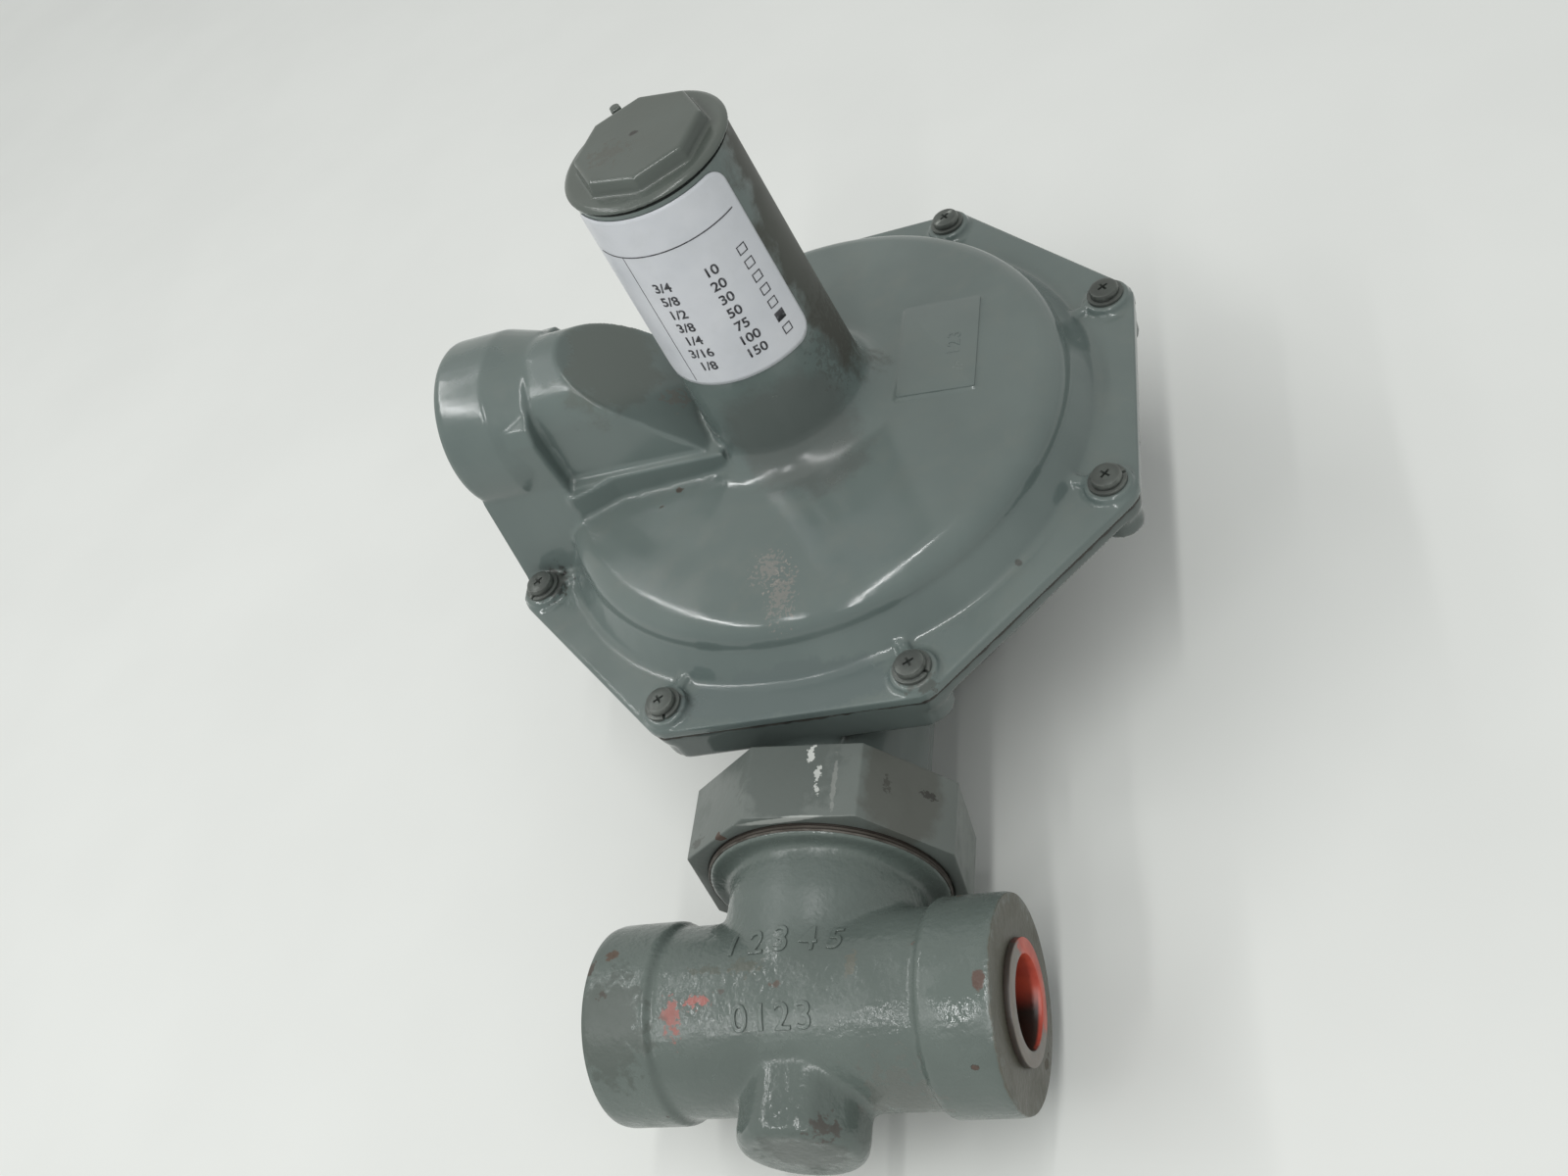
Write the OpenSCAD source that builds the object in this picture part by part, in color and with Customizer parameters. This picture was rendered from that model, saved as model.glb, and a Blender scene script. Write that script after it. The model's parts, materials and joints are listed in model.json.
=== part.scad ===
// Gas service regulator with an in-line iron body, a union nut and a spring barrel.
// Origin at the centre of the pad under the lower case. +Z runs up the barrel,
// +X along the gas flow, and the valve body lies on the -Y side.

/* [Case] */
// Number of case screws, one at each corner of the case
case_corners = 8; // [6:1:10]
// Distance from the dome's foot out to the circle of the case screws
bolt_margin = 10.75; // [9.5:0.25:20]
// Radius of the rounding round each screw
corner_r = 7.3; // [6.8:0.1:9]
// Height of the screw bosses above the upper flange
boss_h = 2.2; // [1.6:0.1:3]
// Depth of the lower screw bosses below the joint
lower_boss_h = 11.3; // [10.5:0.1:13]
// Thickness of the upper flange
upper_flange_t = 3; // [2.4:0.1:4]
// Thickness of the lower flange
lower_flange_t = 4.1; // [3.5:0.1:5]
// Wall of the die-cast case
case_wall = 3; // [2.4:0.1:4]
// Outer radius of the dome where it meets the flange
dome_base_r = 80; // [77:0.25:84]
// Height of the dome's rounded edge above the flange
dome_edge_h = 16.2; // [13:0.1:20]
// Radius of the dome's edge rounding
dome_edge_r = 8; // [5:0.5:10]
// Rise of the dome's top from its edge to the barrel
dome_rise = 3.2; // [1:0.1:6]
// Height of the diaphragm joint above the union's axis
joint_above_union = 34.9; // [34:0.1:38]
// Depth of the lower dish below the joint
dish_depth = 23; // [21:0.1:25]
// Inner radius of the cup that houses the lever
cup_inner_r = 36; // [34:0.5:40]
// Wall of the cup
cup_wall = 4.5; // [3.5:0.1:6]
// Thickness of the cup's floor
cup_floor_t = 5; // [4:0.1:7]

/* [Barrel and cap] */
// Outer radius at the foot of the barrel
barrel_foot_r = 23.2; // [22.4:0.1:25]
// Outer radius at the top of the barrel
barrel_top_r = 20.9; // [20.4:0.1:22]
// Height of the barrel's top above the diaphragm joint
barrel_top_above_joint = 110.9; // [106:0.1:116]
// Radius of the fillet between the barrel and the dome
barrel_fillet_r = 9; // [5:0.5:12]
// Radius of the thread inside the barrel
barrel_thread_r = 17.8; // [17:0.1:18.2]
// Radius of the plain bore below that thread
barrel_bore_r = 17.2; // [16.6:0.1:17.6]
// Length of the barrel's thread
barrel_thread_l = 46; // [40:1:52]
// Radius of the seal cap's rim
cap_rim_r = 21.8; // [21.2:0.1:23]
// Thickness of the seal cap's rim
cap_rim_t = 1.4; // [1.2:0.1:2.2]
// Corner radius of the eight-sided grip on the cap
cap_grip_r = 16.8; // [15:0.1:18]
// Height of that grip above the rim
cap_grip_h = 3.8; // [2.5:0.1:6]
// Length of the cap's threaded skirt
cap_skirt_l = 9; // [7:0.5:12]
// Thickness of the cap gasket
cap_gasket_t = 1.1; // [0.8:0.1:2]
// Height of the adjusting screw
adjuster_h = 12; // [9:0.5:14]
// Width across the flats of the adjusting screw's socket
adjuster_socket = 16; // [12:0.5:18]
// Depth of the adjusting screw's top below the barrel's top
adjuster_depth = 14; // [13:0.5:16]

/* [Vent] */
// Outer radius of the vent hub
vent_hub_r = 24.6; // [23:0.1:26]
// Length of the vent hub
vent_hub_l = 27.4; // [24:0.1:30]
// Height of the vent's axis above the diaphragm joint
vent_above_joint = 41.9; // [41:0.1:43]
// Radius of the vent's pipe thread
vent_thread_r = 15.4; // [14:0.1:16.4]
// Length of the vent's pipe thread
vent_thread_l = 16; // [14:0.5:18]
// Radius of the duct behind that thread
vent_duct_r = 12.5; // [10:0.1:13]
// Distance of the vent valve from the barrel's axis
vent_valve_x = 51; // [50:0.5:52]
// Radius of the chamber round the vent valve
vent_chamber_r = 11.5; // [10.5:0.1:12]
// Half width of the ledge along the vent passage
vent_ledge_y = 20.5; // [18:0.5:22]
// Height of that ledge above the joint
vent_ledge_h = 29.7; // [28:0.1:31]
// Radius of the vent valve's seat
vent_seat_r = 7.5; // [6:0.1:8]

/* [Diaphragm and springs] */
// Thickness of the diaphragm
diaphragm_t = 0.8; // [0.6:0.1:1.2]
// Depth of the diaphragm's centre below the joint when no gas is on
diaphragm_drop = 8; // [7:0.5:9]
// Radius of the diaphragm plate
plate_r = 52; // [46:0.5:56]
// Thickness of the diaphragm plate
plate_t = 1.2; // [1:0.1:2]
// Mean radius of the main spring
main_spring_r = 14.2; // [13.4:0.1:14.8]
// Wire diameter of the main spring
main_wire_d = 2.4; // [1.6:0.1:2.8]
// Number of turns of the main spring
main_turns = 11; // [8:1:14]
// Mean radius of the relief spring
relief_spring_r = 6.4; // [6:0.1:7]
// Wire diameter of the relief spring
relief_wire_d = 1.2; // [0.8:0.1:1.5]
// Number of turns of the relief spring
relief_turns = 6; // [4:1:8]
// Length of the relief spring as fitted
relief_spring_l = 22; // [18:0.5:26]
// Upward travel of the diaphragm until the valve is shut
stem_travel = 6; // [4:0.5:6]

/* [Lever] */
// Height of the lever's short arm, pin to valve stem
lever_short = 9; // [8:0.1:10]
// Length of the lever's long arm, pin to diaphragm stem
lever_long = 30; // [28:0.5:32]
// Radius of the lever's pin
lever_pin_r = 2; // [1.5:0.1:2.4]
// Radius of the lever's two rounded tips
lever_tip_r = 1.6; // [1.3:0.1:2]

/* [Union and nut] */
// Width of the union nut across its flats
nut_flats = 69.8; // [68.8:0.1:74]
// Width of the union nut along the union's axis
nut_w = 20.7; // [18:0.1:24]
// Turn of the nut from flats level, in degrees
nut_turn = 13.5; // [0:0.5:22]
// Distance of the nut's near face from the barrel's axis
nut_y = 98; // [96:0.5:104]
// Radius of the case's neck
neck_r = 24; // [23:0.1:25]
// Radius of the neck's bore
neck_bore_r = 19; // [18:0.1:20]
// Wire diameter of the snap ring that holds the nut
snap_wire_d = 3; // [2.4:0.1:3.4]
// Radius of the valve body's threaded collar
collar_r = 31.4; // [30.8:0.1:32]
// Length of the collar that shows past the nut
collar_out = 2.5; // [1.5:0.1:4]
// Radius of the body's neck below its collar
neck_waist_r = 25.4; // [24.5:0.1:27]
// Thickness of the union gasket
union_gasket_t = 1.6; // [1:0.1:2.5]

/* [Valve body] */
// Length of the valve body from port face to port face
face_to_face = 104.1; // [100:0.1:112]
// Distance of the flow axis from the barrel's axis
flow_y = 154; // [151:0.5:158]
// Radius of the valve body between its hubs
body_r = 23.6; // [23:0.1:24.4]
// Radius of the inlet hub
inlet_hub_r = 25.2; // [24.6:0.1:27]
// Radius of the outlet hub
outlet_hub_r = 25.6; // [25:0.1:27]
// Length of each hub
hub_l = 18; // [16:0.5:22]
// Radius of the pipe threads in the two ports
port_r = 12.1; // [11.5:0.1:12.6]
// Length of those threads
port_l = 16; // [14:0.5:17]
// Radius of the plug boss on the far end of the body
boss_r = 15.5; // [13:0.1:18]
// Distance of the plug boss's end from the flow axis
boss_end = 35; // [32:0.1:38]
// Radius of the orifice's bore
orifice_r = 3.2; // [1.5:0.1:5]
// Radius of the orifice's thread
orifice_thread_r = 8; // [7.5:0.1:8.5]

/* [Screws, label and thread protector] */
// Radius of the case screws' thread
screw_r = 2.4; // [2:0.1:2.6]
// Radius of the case screws' heads
screw_head_r = 4.1; // [3.7:0.1:4.6]
// Height of the case screws' heads
screw_head_h = 2.1; // [1.8:0.1:3]
// Thickness of the lock washers
washer_t = 1; // [0.8:0.1:1.4]
// Height of the label
label_h = 54.3; // [40:0.1:60]
// Angle that the label wraps round the barrel
label_wrap = 125; // [90:1:170]
// Thickness of the label
label_t = 0.2; // [0.15:0.05:0.5]
// Radius of the thread protector's lip
protector_lip_r = 14.8; // [13.6:0.1:16]
// Width of the thread protector's lip
protector_lip_t = 1.8; // [1.2:0.1:3]
// Wall of the thread protector's sleeve
protector_wall = 1.1; // [0.9:0.05:1.5]

/* [Fits] */
// Radial clearance of parts that slide or turn on each other
run_gap = 0.05; // [0.03:0.01:0.09]
// Clearance between parts that stay clear of each other
clear_gap = 0.4; // [0.3:0.05:0.6]

/* [Hidden] */
$fn = 96;
wire_sides = 6;
tiny = 0.01;
corner_step = 360 / case_corners;
first_corner = corner_step / 2;

// Heights above the pad
nut_corner_r = nut_flats / 2 / cos(22.5);
union_z = nut_corner_r * cos(nut_turn);
joint_z = union_z + joint_above_union;
clamp_half = diaphragm_t / 2;
upper_flange_z = joint_z + clamp_half;
flange_top_z = upper_flange_z + upper_flange_t;
lower_flange_z = joint_z - clamp_half;
boss_top_z = flange_top_z + boss_h;
dome_edge_z = flange_top_z + dome_edge_h;
dome_top_z = dome_edge_z + dome_rise;
barrel_top_z = joint_z + barrel_top_above_joint;
vent_z = joint_z + vent_above_joint;
dish_floor_z = joint_z - dish_depth + case_wall;

// Dome
dome_edge_x = dome_base_r - 4.5;
dome_flat_r = barrel_foot_r + barrel_fillet_r;
dome_slope = atan(dome_rise / (dome_edge_x - dome_edge_r - dome_flat_r));
upper_boss_r = corner_r - 0.9;
lower_boss_r = corner_r - 1.5;
lower_inset = 0.8;
gasket_inset = 1.2;
dome_inner_r = dome_base_r - case_wall - 2;
dish_outer_r = dome_base_r;
dish_inner_r = dish_outer_r - case_wall - 2;

// Vent
bolt_circle_r = dome_base_r + bolt_margin;
washer_r = screw_head_r + 1;
vent_face_x = -(bolt_circle_r * cos(first_corner) + corner_r);
vent_hub_back_x = vent_face_x + vent_hub_l;
vent_hub_straight = 16;
vent_hub_back_r = vent_hub_r - 3.1;
vent_arch_r = 17.2;
vent_arch_z = vent_z + 4.3;
vent_ledge_z = joint_z + vent_ledge_h;
vent_roof_x = -44;
vent_roof_z = vent_arch_z + 7.2;
vent_seat_z = joint_z + 26.2;
vent_ceiling_z = vent_arch_z - 1.8;
screen_pocket_r = vent_thread_r - 0.8;
screen_pocket_l = 2.2;
screen_wire = 0.8;
screen_x = vent_face_x + vent_thread_l + screen_pocket_l - screen_wire;
vent_guide_z = dome_top_z - case_wall - 0.6;

// Diaphragm stack, lowest position
dia_z = joint_z - diaphragm_drop;
head_hole_r = 9;
head_flange_r = 14;
head_flange_t = 2.4;
head_bore_r = 5;
head_nut_t = 3.4;
head_nut_r = head_hole_r + 3.4;
plate_top_z = dia_z + diaphragm_t + plate_t;
head_top_z = plate_top_z + head_nut_t;
relief_nut_z = head_top_z + relief_spring_l;
relief_nut_t = 3;
relief_stem_r = 3;
relief_disc_r = 11;
relief_disc_t = 3;
relief_pad_t = 1.4;
relief_disc_z = dia_z - head_flange_t - relief_pad_t - relief_disc_t;
dia_bead_r = dish_inner_r - 1;

// Lever
lever_swing = asin(stem_travel / 2 / lever_long);
pin_y = -lever_long * cos(lever_swing);
pin_z = union_z - lever_short * cos(lever_swing);
lever_droop_z = pin_z - lever_long * sin(lever_swing);
lever_hub_r = lever_pin_r + 2.2;
lever_w = 5;
lug_w = 4;
lug_x = 6;
eye_depth = 7;
eye_gap = lever_tip_r + clear_gap;
valve_travel = stem_travel * lever_short / lever_long;

// Union, in distances along -Y
lip_w = 5.6;
snap_y = nut_y + lip_w + 0.1 + snap_wire_d / 2;
neck_end_y = snap_y + snap_wire_d / 2 + 3.4;
collar_y = neck_end_y + union_gasket_t;
nut_far_y = nut_y + nut_w;
guide_w = 5;
guide_y = nut_y - 2;

// Valve body, in distances along -Y
web_y = flow_y - 15.5;
seat_y = web_y - 7;
disc_t = 3;
disc_face_y = seat_y - valve_travel - clear_gap;
holder_t = 6;
holder_r = 9;
valve_stem_r = 3;
port_x = face_to_face / 2;

// Barrel, cap and adjuster
adjuster_top_z = barrel_top_z - adjuster_depth;
adjuster_z = adjuster_top_z - adjuster_h;
spring_seat_t = 2;
adjuster_vent_r = 4;
main_spring_top_z = adjuster_z - spring_seat_t;
barrel_split_z = barrel_top_z - barrel_thread_l;
cap_z = barrel_top_z + cap_gasket_t;
label_top_z = barrel_top_z - 1.2;
label_middle = -87.5;
label_glue = 0.12;

// Outer radius of the tapered barrel at a height
function barrel_r(z) = barrel_foot_r + (barrel_top_r - barrel_foot_r)
    * (z - dome_top_z) / (barrel_top_z - dome_top_z);

// Points of an arc in a profile
function arc(x, y, r, a0, a1, n = 6) =
    [for (i = [0:n]) let (a = a0 + (a1 - a0) * i / n) [x + r * cos(a), y + r * sin(a)]];

// Repeats its children at each case screw
module at_corners() {
    for (i = [0:case_corners - 1])
        rotate(first_corner + i * corner_step) translate([bolt_circle_r, 0, 0]) children();
}

// A cylinder along -Y that starts at distance y, on the union's axis
module along_union(y, length, r, sides = $fn) {
    translate([0, -y, union_z]) rotate([90, 0, 0]) cylinder(h = length, r = r, $fn = sides);
}

// A ring round Z
module ring(z, height, outer, inner) {
    translate([0, 0, z]) difference() {
        cylinder(h = height, r = outer);
        translate([0, 0, -1]) cylinder(h = height + 2, r = inner);
    }
}

// The case's outline with rounded corners, smaller by inset
module flange(z, t, inset = 0) {
    translate([0, 0, z]) linear_extrude(t)
        hull() at_corners() circle(r = corner_r - inset, $fn = 40);
}

// An open coil spring of round wire round Z, with its first and last turns closed
module coil(z, length, mean_r, wire_d, turns, steps = 12) {
    total = turns * steps;
    rising = total - steps;
    function lift(i) = wire_d / 2 + min(max(i - steps / 2, 0), rising) * (length - wire_d) / rising;
    points = [for (i = [0:total], j = [0:wire_sides - 1])
        let (a = i * 360 / steps, b = j * 360 / wire_sides, r = mean_r + wire_d / 2 * cos(b))
        [r * cos(a), r * sin(a), lift(i) + wire_d / 2 * sin(b)]];
    sides = [for (i = [0:total - 1], j = [0:wire_sides - 1], k = [0:1])
        let (a = i * wire_sides + j, b = i * wire_sides + (j + 1) % wire_sides)
        k == 0 ? [a, a + wire_sides, b] : [b, a + wire_sides, b + wire_sides]];
    near_end = [for (j = [1:wire_sides - 2]) [0, j, j + 1]];
    last = total * wire_sides;
    far_end = [for (j = [1:wire_sides - 2]) [last, last + j + 1, last + j]];
    translate([0, 0, z]) polyhedron(points, concat(sides, near_end, far_end), convexity = 8);
}

module dome_outside() {
    edge = dome_edge_r;
    foot = 2;
    rotate_extrude() polygon(concat(
        [[0, upper_flange_z], [dome_base_r + foot, upper_flange_z]],
        arc(dome_base_r + foot, flange_top_z + foot, foot, 270, 195, 3),
        arc(dome_edge_x - edge, dome_edge_z - edge, edge, 0, 80),
        arc(dome_flat_r, dome_top_z + barrel_fillet_r - 0.4, barrel_fillet_r, 265, 182),
        [[barrel_r(barrel_split_z), barrel_split_z], [0, barrel_split_z]]));
}

module dome_inside() {
    edge = dome_edge_r - case_wall;
    rotate_extrude() polygon(concat(
        [[0, upper_flange_z - 1], [dome_inner_r, upper_flange_z - 1]],
        arc(dome_edge_x - case_wall - edge, dome_edge_z - case_wall - edge, edge, 0, 80, 4),
        [[barrel_bore_r, dome_top_z - case_wall - 0.6],
         [barrel_bore_r, barrel_split_z + 1], [0, barrel_split_z + 1]]));
}

// Screw bosses with the short webs that tie them to the dome
module upper_bosses() {
    round = 0.6;
    web = [14, 3, boss_top_z - upper_flange_z - 0.5];
    at_corners() {
        translate([0, 0, upper_flange_z]) rotate_extrude() polygon(concat(
            [[0, 0], [upper_boss_r, 0]],
            arc(upper_boss_r - round, boss_top_z - upper_flange_z - round, round, 0, 90, 3),
            [[0, boss_top_z - upper_flange_z]]));
        translate([-web.x, -web.y / 2, upper_flange_z]) cube(web);
    }
}

// Hub and skirt of the vent
module vent_hub() {
    round = 1.4;
    skirt_y = 22.8;
    skirt_foot_y = 29.3;
    skirt_z = vent_z - 9.7;
    cheek_x = 4;
    cheek = [[skirt_y, skirt_z - 1], [skirt_y, skirt_z], [22.9, vent_z], [22.6, vent_z + 7.6],
        [20.5, vent_z + 12], [14, vent_z + 15.5]];
    gusset_l = 13;
    translate([vent_face_x, 0, vent_z]) rotate([0, 90, 0]) rotate_extrude()
        polygon(concat([[0, 0]], arc(vent_hub_r - round, round, round, 270, 360, 4),
            [[vent_hub_r, vent_hub_straight], [vent_hub_back_r, vent_hub_l], [0, vent_hub_l]]));
    translate([vent_face_x, 0, 0]) rotate([90, 0, 90]) linear_extrude(vent_hub_l)
        polygon([[-skirt_y, skirt_z], [-skirt_foot_y, flange_top_z],
            [-skirt_foot_y, upper_flange_z], [skirt_foot_y, upper_flange_z],
            [skirt_foot_y, flange_top_z], [skirt_y, skirt_z]]);
    translate([vent_face_x + cheek_x, 0, 0]) rotate([90, 0, 90])
        linear_extrude(vent_hub_l - cheek_x)
            polygon(concat(cheek, [for (i = [len(cheek) - 1:-1:0]) [-cheek[i].x, cheek[i].y]]));
    translate([vent_hub_back_x, 0, flange_top_z]) linear_extrude(vent_ledge_z - flange_top_z - 1)
        polygon([[-1, -skirt_y - 2], [0, -skirt_y - 2], [gusset_l, -vent_ledge_y],
            [gusset_l, vent_ledge_y], [0, skirt_y + 2], [-1, skirt_y + 2]]);
}

// Arched passage behind the hub, with a ledge on each side and a roof that slopes to the barrel
module vent_passage() {
    start_x = vent_hub_back_x - 2;
    end_x = -dome_flat_r / 2;
    length = end_x - start_x;
    foot_y = vent_arch_r + 1.4;
    difference() {
        translate([start_x, 0, 0]) {
            translate([0, 0, vent_arch_z]) rotate([0, 90, 0])
                cylinder(h = length, r = vent_arch_r);
            rotate([90, 0, 90]) linear_extrude(length)
                polygon([[-foot_y, vent_ledge_z - 1], [foot_y, vent_ledge_z - 1],
                    [vent_arch_r, vent_arch_z], [-vent_arch_r, vent_arch_z]]);
        }
        translate([vent_roof_x, 0, vent_roof_z]) rotate([0, 45, 0])
            translate([-length, -2 * foot_y, 0]) cube([2 * length, 4 * foot_y, length]);
    }
    translate([start_x, -vent_ledge_y, upper_flange_z])
        cube([length, 2 * vent_ledge_y, vent_ledge_z - upper_flange_z]);
}

module vent_inside() {
    translate([vent_face_x - 1, 0, vent_z]) rotate([0, 90, 0])
        cylinder(h = vent_thread_l + 1, r = vent_thread_r);
    translate([vent_face_x, 0, vent_z]) rotate([0, 90, 0])
        cylinder(h = vent_thread_l + screen_pocket_l, r = screen_pocket_r);
    translate([vent_face_x, 0, vent_z]) rotate([0, 90, 0])
        cylinder(h = -vent_face_x - vent_valve_x, r = vent_duct_r);
    translate([-vent_valve_x, 0, vent_seat_z])
        cylinder(h = vent_ceiling_z - vent_seat_z, r = vent_chamber_r);
    translate([-vent_valve_x, 0, dome_edge_z - dome_edge_r])
        cylinder(h = vent_seat_z - dome_edge_z + dome_edge_r + 1, r = vent_seat_r);
}

// Low rectangular pad on the dome's slope
module dome_pad() {
    pad = [21.5, 35.5, 4];
    proud = 0.25;
    middle = [41.9, 10.9];
    reach = norm(middle);
    turn = atan2(middle.y, middle.x);
    top_z = dome_top_z - (reach - dome_flat_r) * tan(dome_slope) + proud;
    rotate(turn) translate([reach, 0, top_z]) rotate([0, dome_slope, 0]) rotate(-turn)
        translate([-pad.x / 2, -pad.y / 2, -pad.z]) cube(pad);
}

module upper_case() {
    color([0.36, 0.40, 0.41]) difference() {
        union() {
            flange(upper_flange_z, upper_flange_t);
            dome_outside();
            upper_bosses();
            vent_hub();
            vent_passage();
            dome_pad();
        }
        dome_inside();
        vent_inside();
        at_corners() {
            translate([0, 0, upper_flange_z - 1])
                cylinder(h = boss_top_z - upper_flange_z + 2, r = screw_r + clear_gap);
            translate([0, 0, boss_top_z])
                cylinder(h = washer_t + screw_head_h + clear_gap, r = washer_r + clear_gap);
        }
    }
}

module lower_outside() {
    cup_r = cup_inner_r + cup_wall;
    under_z = dish_floor_z - case_wall;
    rib_end_r = dish_outer_r - 14;
    wall = [2 * bolt_circle_r * sin(first_corner), 22, joint_z - lower_boss_h];
    wall_y = -bolt_circle_r * cos(first_corner) - corner_r + lower_inset;
    rotate_extrude() polygon(concat(
        [[0, 0], [cup_r - 3, 0], [cup_r, 3], [cup_r, under_z - 4], [cup_r + 4, under_z]],
        arc(dish_outer_r - 8, under_z + 8, 8, 270, 355),
        [[dish_outer_r, lower_flange_z - lower_flange_t], [dish_outer_r, lower_flange_z],
         [0, lower_flange_z]]));
    along_union(0, neck_end_y, neck_r);
    translate([-wall.x / 2, wall_y, wall.z])
        cube([wall.x, wall.y, lower_flange_z - lower_flange_t - wall.z + 1]);
    for (i = [0:2 * case_corners - 1])
        if (abs((i + 0.5) * corner_step / 2 - 270) > 40)
            rotate((i + 0.5) * corner_step / 2) rotate([90, 0, 0])
                translate([0, 0, -1.25]) linear_extrude(2.5)
                    polygon([[cup_r - 1, dish_floor_z], [cup_r - 1, dish_floor_z - 22],
                        [rib_end_r, under_z + 1], [rib_end_r, dish_floor_z]]);
}

module lower_inside() {
    rotate_extrude() polygon(concat([[0, cup_floor_t], [cup_inner_r, cup_floor_t],
        [cup_inner_r, dish_floor_z]],
        arc(dish_inner_r - 5, dish_floor_z + 5, 5, 270, 355, 4),
        [[dish_inner_r, lower_flange_z + 1], [0, lower_flange_z + 1]]));
    along_union(cup_inner_r - 8, neck_end_y - cup_inner_r + 9, neck_bore_r);
}

// Two lugs on the cup's floor that carry the lever's pin
module pin_lugs() {
    for (side = [-1, 1]) difference() {
        translate([side * (lug_x + lug_w / 2) - lug_w / 2, pin_y - 5, cup_floor_t - 1])
            cube([lug_w, 10, pin_z + 5 - cup_floor_t + 1]);
        translate([-20, pin_y, pin_z]) rotate([0, 90, 0])
            cylinder(h = 40, r = lever_pin_r);
    }
}

module lower_case() {
    hole_l = lower_boss_h - 1.5;
    boss_z = joint_z - lower_boss_h;
    color([0.34, 0.38, 0.39]) difference() {
        union() {
            difference() {
                union() {
                    flange(lower_flange_z - lower_flange_t, lower_flange_t, lower_inset);
                    lower_outside();
                    at_corners() translate([0, 0, boss_z])
                        cylinder(h = lower_flange_z - boss_z - 1, r = lower_boss_r);
                }
                lower_inside();
            }
            pin_lugs();
        }
        at_corners() translate([0, 0, joint_z - hole_l])
            cylinder(h = hole_l + 1, r = screw_r + run_gap);
        translate([0, -snap_y, union_z]) rotate([90, 0, 0]) rotate_extrude()
            translate([neck_r, 0]) circle(d = snap_wire_d);
    }
}

// Threaded upper length of the upper case's barrel, kept apart from the dome as a plain tube
module spring_barrel() {
    color([0.30, 0.33, 0.33]) rotate_extrude() polygon([
        [barrel_thread_r, barrel_split_z], [barrel_r(barrel_split_z), barrel_split_z],
        [barrel_r(barrel_top_z), barrel_top_z], [barrel_thread_r, barrel_top_z]]);
}

module case_screws() {
    head_z = boss_top_z + washer_t;
    shank = head_z - joint_z + lower_boss_h - 2.5;
    slot = [4.4, 1, 1.4];
    round = 1.2;
    color([0.22, 0.23, 0.24]) at_corners() translate([0, 0, head_z]) difference() {
        rotate_extrude() polygon(concat([[0, -shank], [screw_r - 0.6, -shank],
            [screw_r, -shank + 0.8], [screw_r, 0], [screw_head_r, 0]],
            arc(screw_head_r - round, screw_head_h - round, round, 0, 75, 3),
            [[0, screw_head_h]]));
        for (turn = [20, 110]) rotate(turn)
            translate([-slot.x / 2, -slot.y / 2, screw_head_h - slot.z]) cube([slot.x, slot.y, 3]);
    }
}

module lock_washers() {
    split = 0.8;
    color([0.25, 0.26, 0.27]) at_corners() translate([0, 0, boss_top_z]) difference() {
        cylinder(h = washer_t, r = washer_r);
        translate([0, 0, -1]) cylinder(h = washer_t + 2, r = screw_r + 0.2);
        rotate(40) translate([screw_r, -split / 2, -1]) cube([4, split, washer_t + 2]);
    }
}

module diaphragm() {
    convolution_h = 5;
    roll_r = (dia_bead_r + plate_r) / 2;
    color([0.12, 0.12, 0.13]) difference() {
        union() {
            difference() {
                flange(lower_flange_z, diaphragm_t, gasket_inset);
                translate([0, 0, lower_flange_z - 1])
                    cylinder(h = diaphragm_t + 2, r = dia_bead_r + 1);
            }
            rotate_extrude() polygon([[head_hole_r, dia_z], [plate_r - 2, dia_z],
                [roll_r - 2, dia_z + convolution_h], [dia_bead_r, lower_flange_z],
                [dia_bead_r + 2, lower_flange_z], [dia_bead_r + 2, upper_flange_z],
                [dia_bead_r - 0.6, upper_flange_z],
                [roll_r - 2.6, dia_z + convolution_h + diaphragm_t],
                [plate_r - 2.5, dia_z + diaphragm_t], [head_hole_r, dia_z + diaphragm_t]]);
        }
        at_corners() translate([0, 0, joint_z - 2]) cylinder(h = 4, r = screw_r + clear_gap);
    }
}

module diaphragm_plate() {
    lip = 3;
    color([0.62, 0.60, 0.50]) translate([0, 0, dia_z + diaphragm_t])
        rotate_extrude() polygon([[head_hole_r + 0.1, 0], [plate_r - 3, 0],
            [plate_r - 3 + lip, lip], [plate_r - 3 + lip - plate_t, lip + 0.4],
            [plate_r - 3.6, plate_t], [head_hole_r + 0.1, plate_t]]);
}

module diaphragm_head() {
    color([0.72, 0.58, 0.32]) rotate_extrude() polygon([
        [head_bore_r, dia_z - head_flange_t], [head_bore_r + 1.2, dia_z - head_flange_t],
        [head_flange_r, dia_z - head_flange_t + 0.8], [head_flange_r, dia_z],
        [head_hole_r - 0.1, dia_z], [head_hole_r - 0.1, head_top_z], [head_bore_r, head_top_z]]);
}

module head_nut() {
    color([0.60, 0.61, 0.62]) translate([0, 0, plate_top_z]) difference() {
        cylinder(h = head_nut_t - 0.4, r = head_nut_r, $fn = 6);
        translate([0, 0, -1]) cylinder(h = head_nut_t + 2, r = head_hole_r - 0.1 + run_gap);
    }
}

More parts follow.
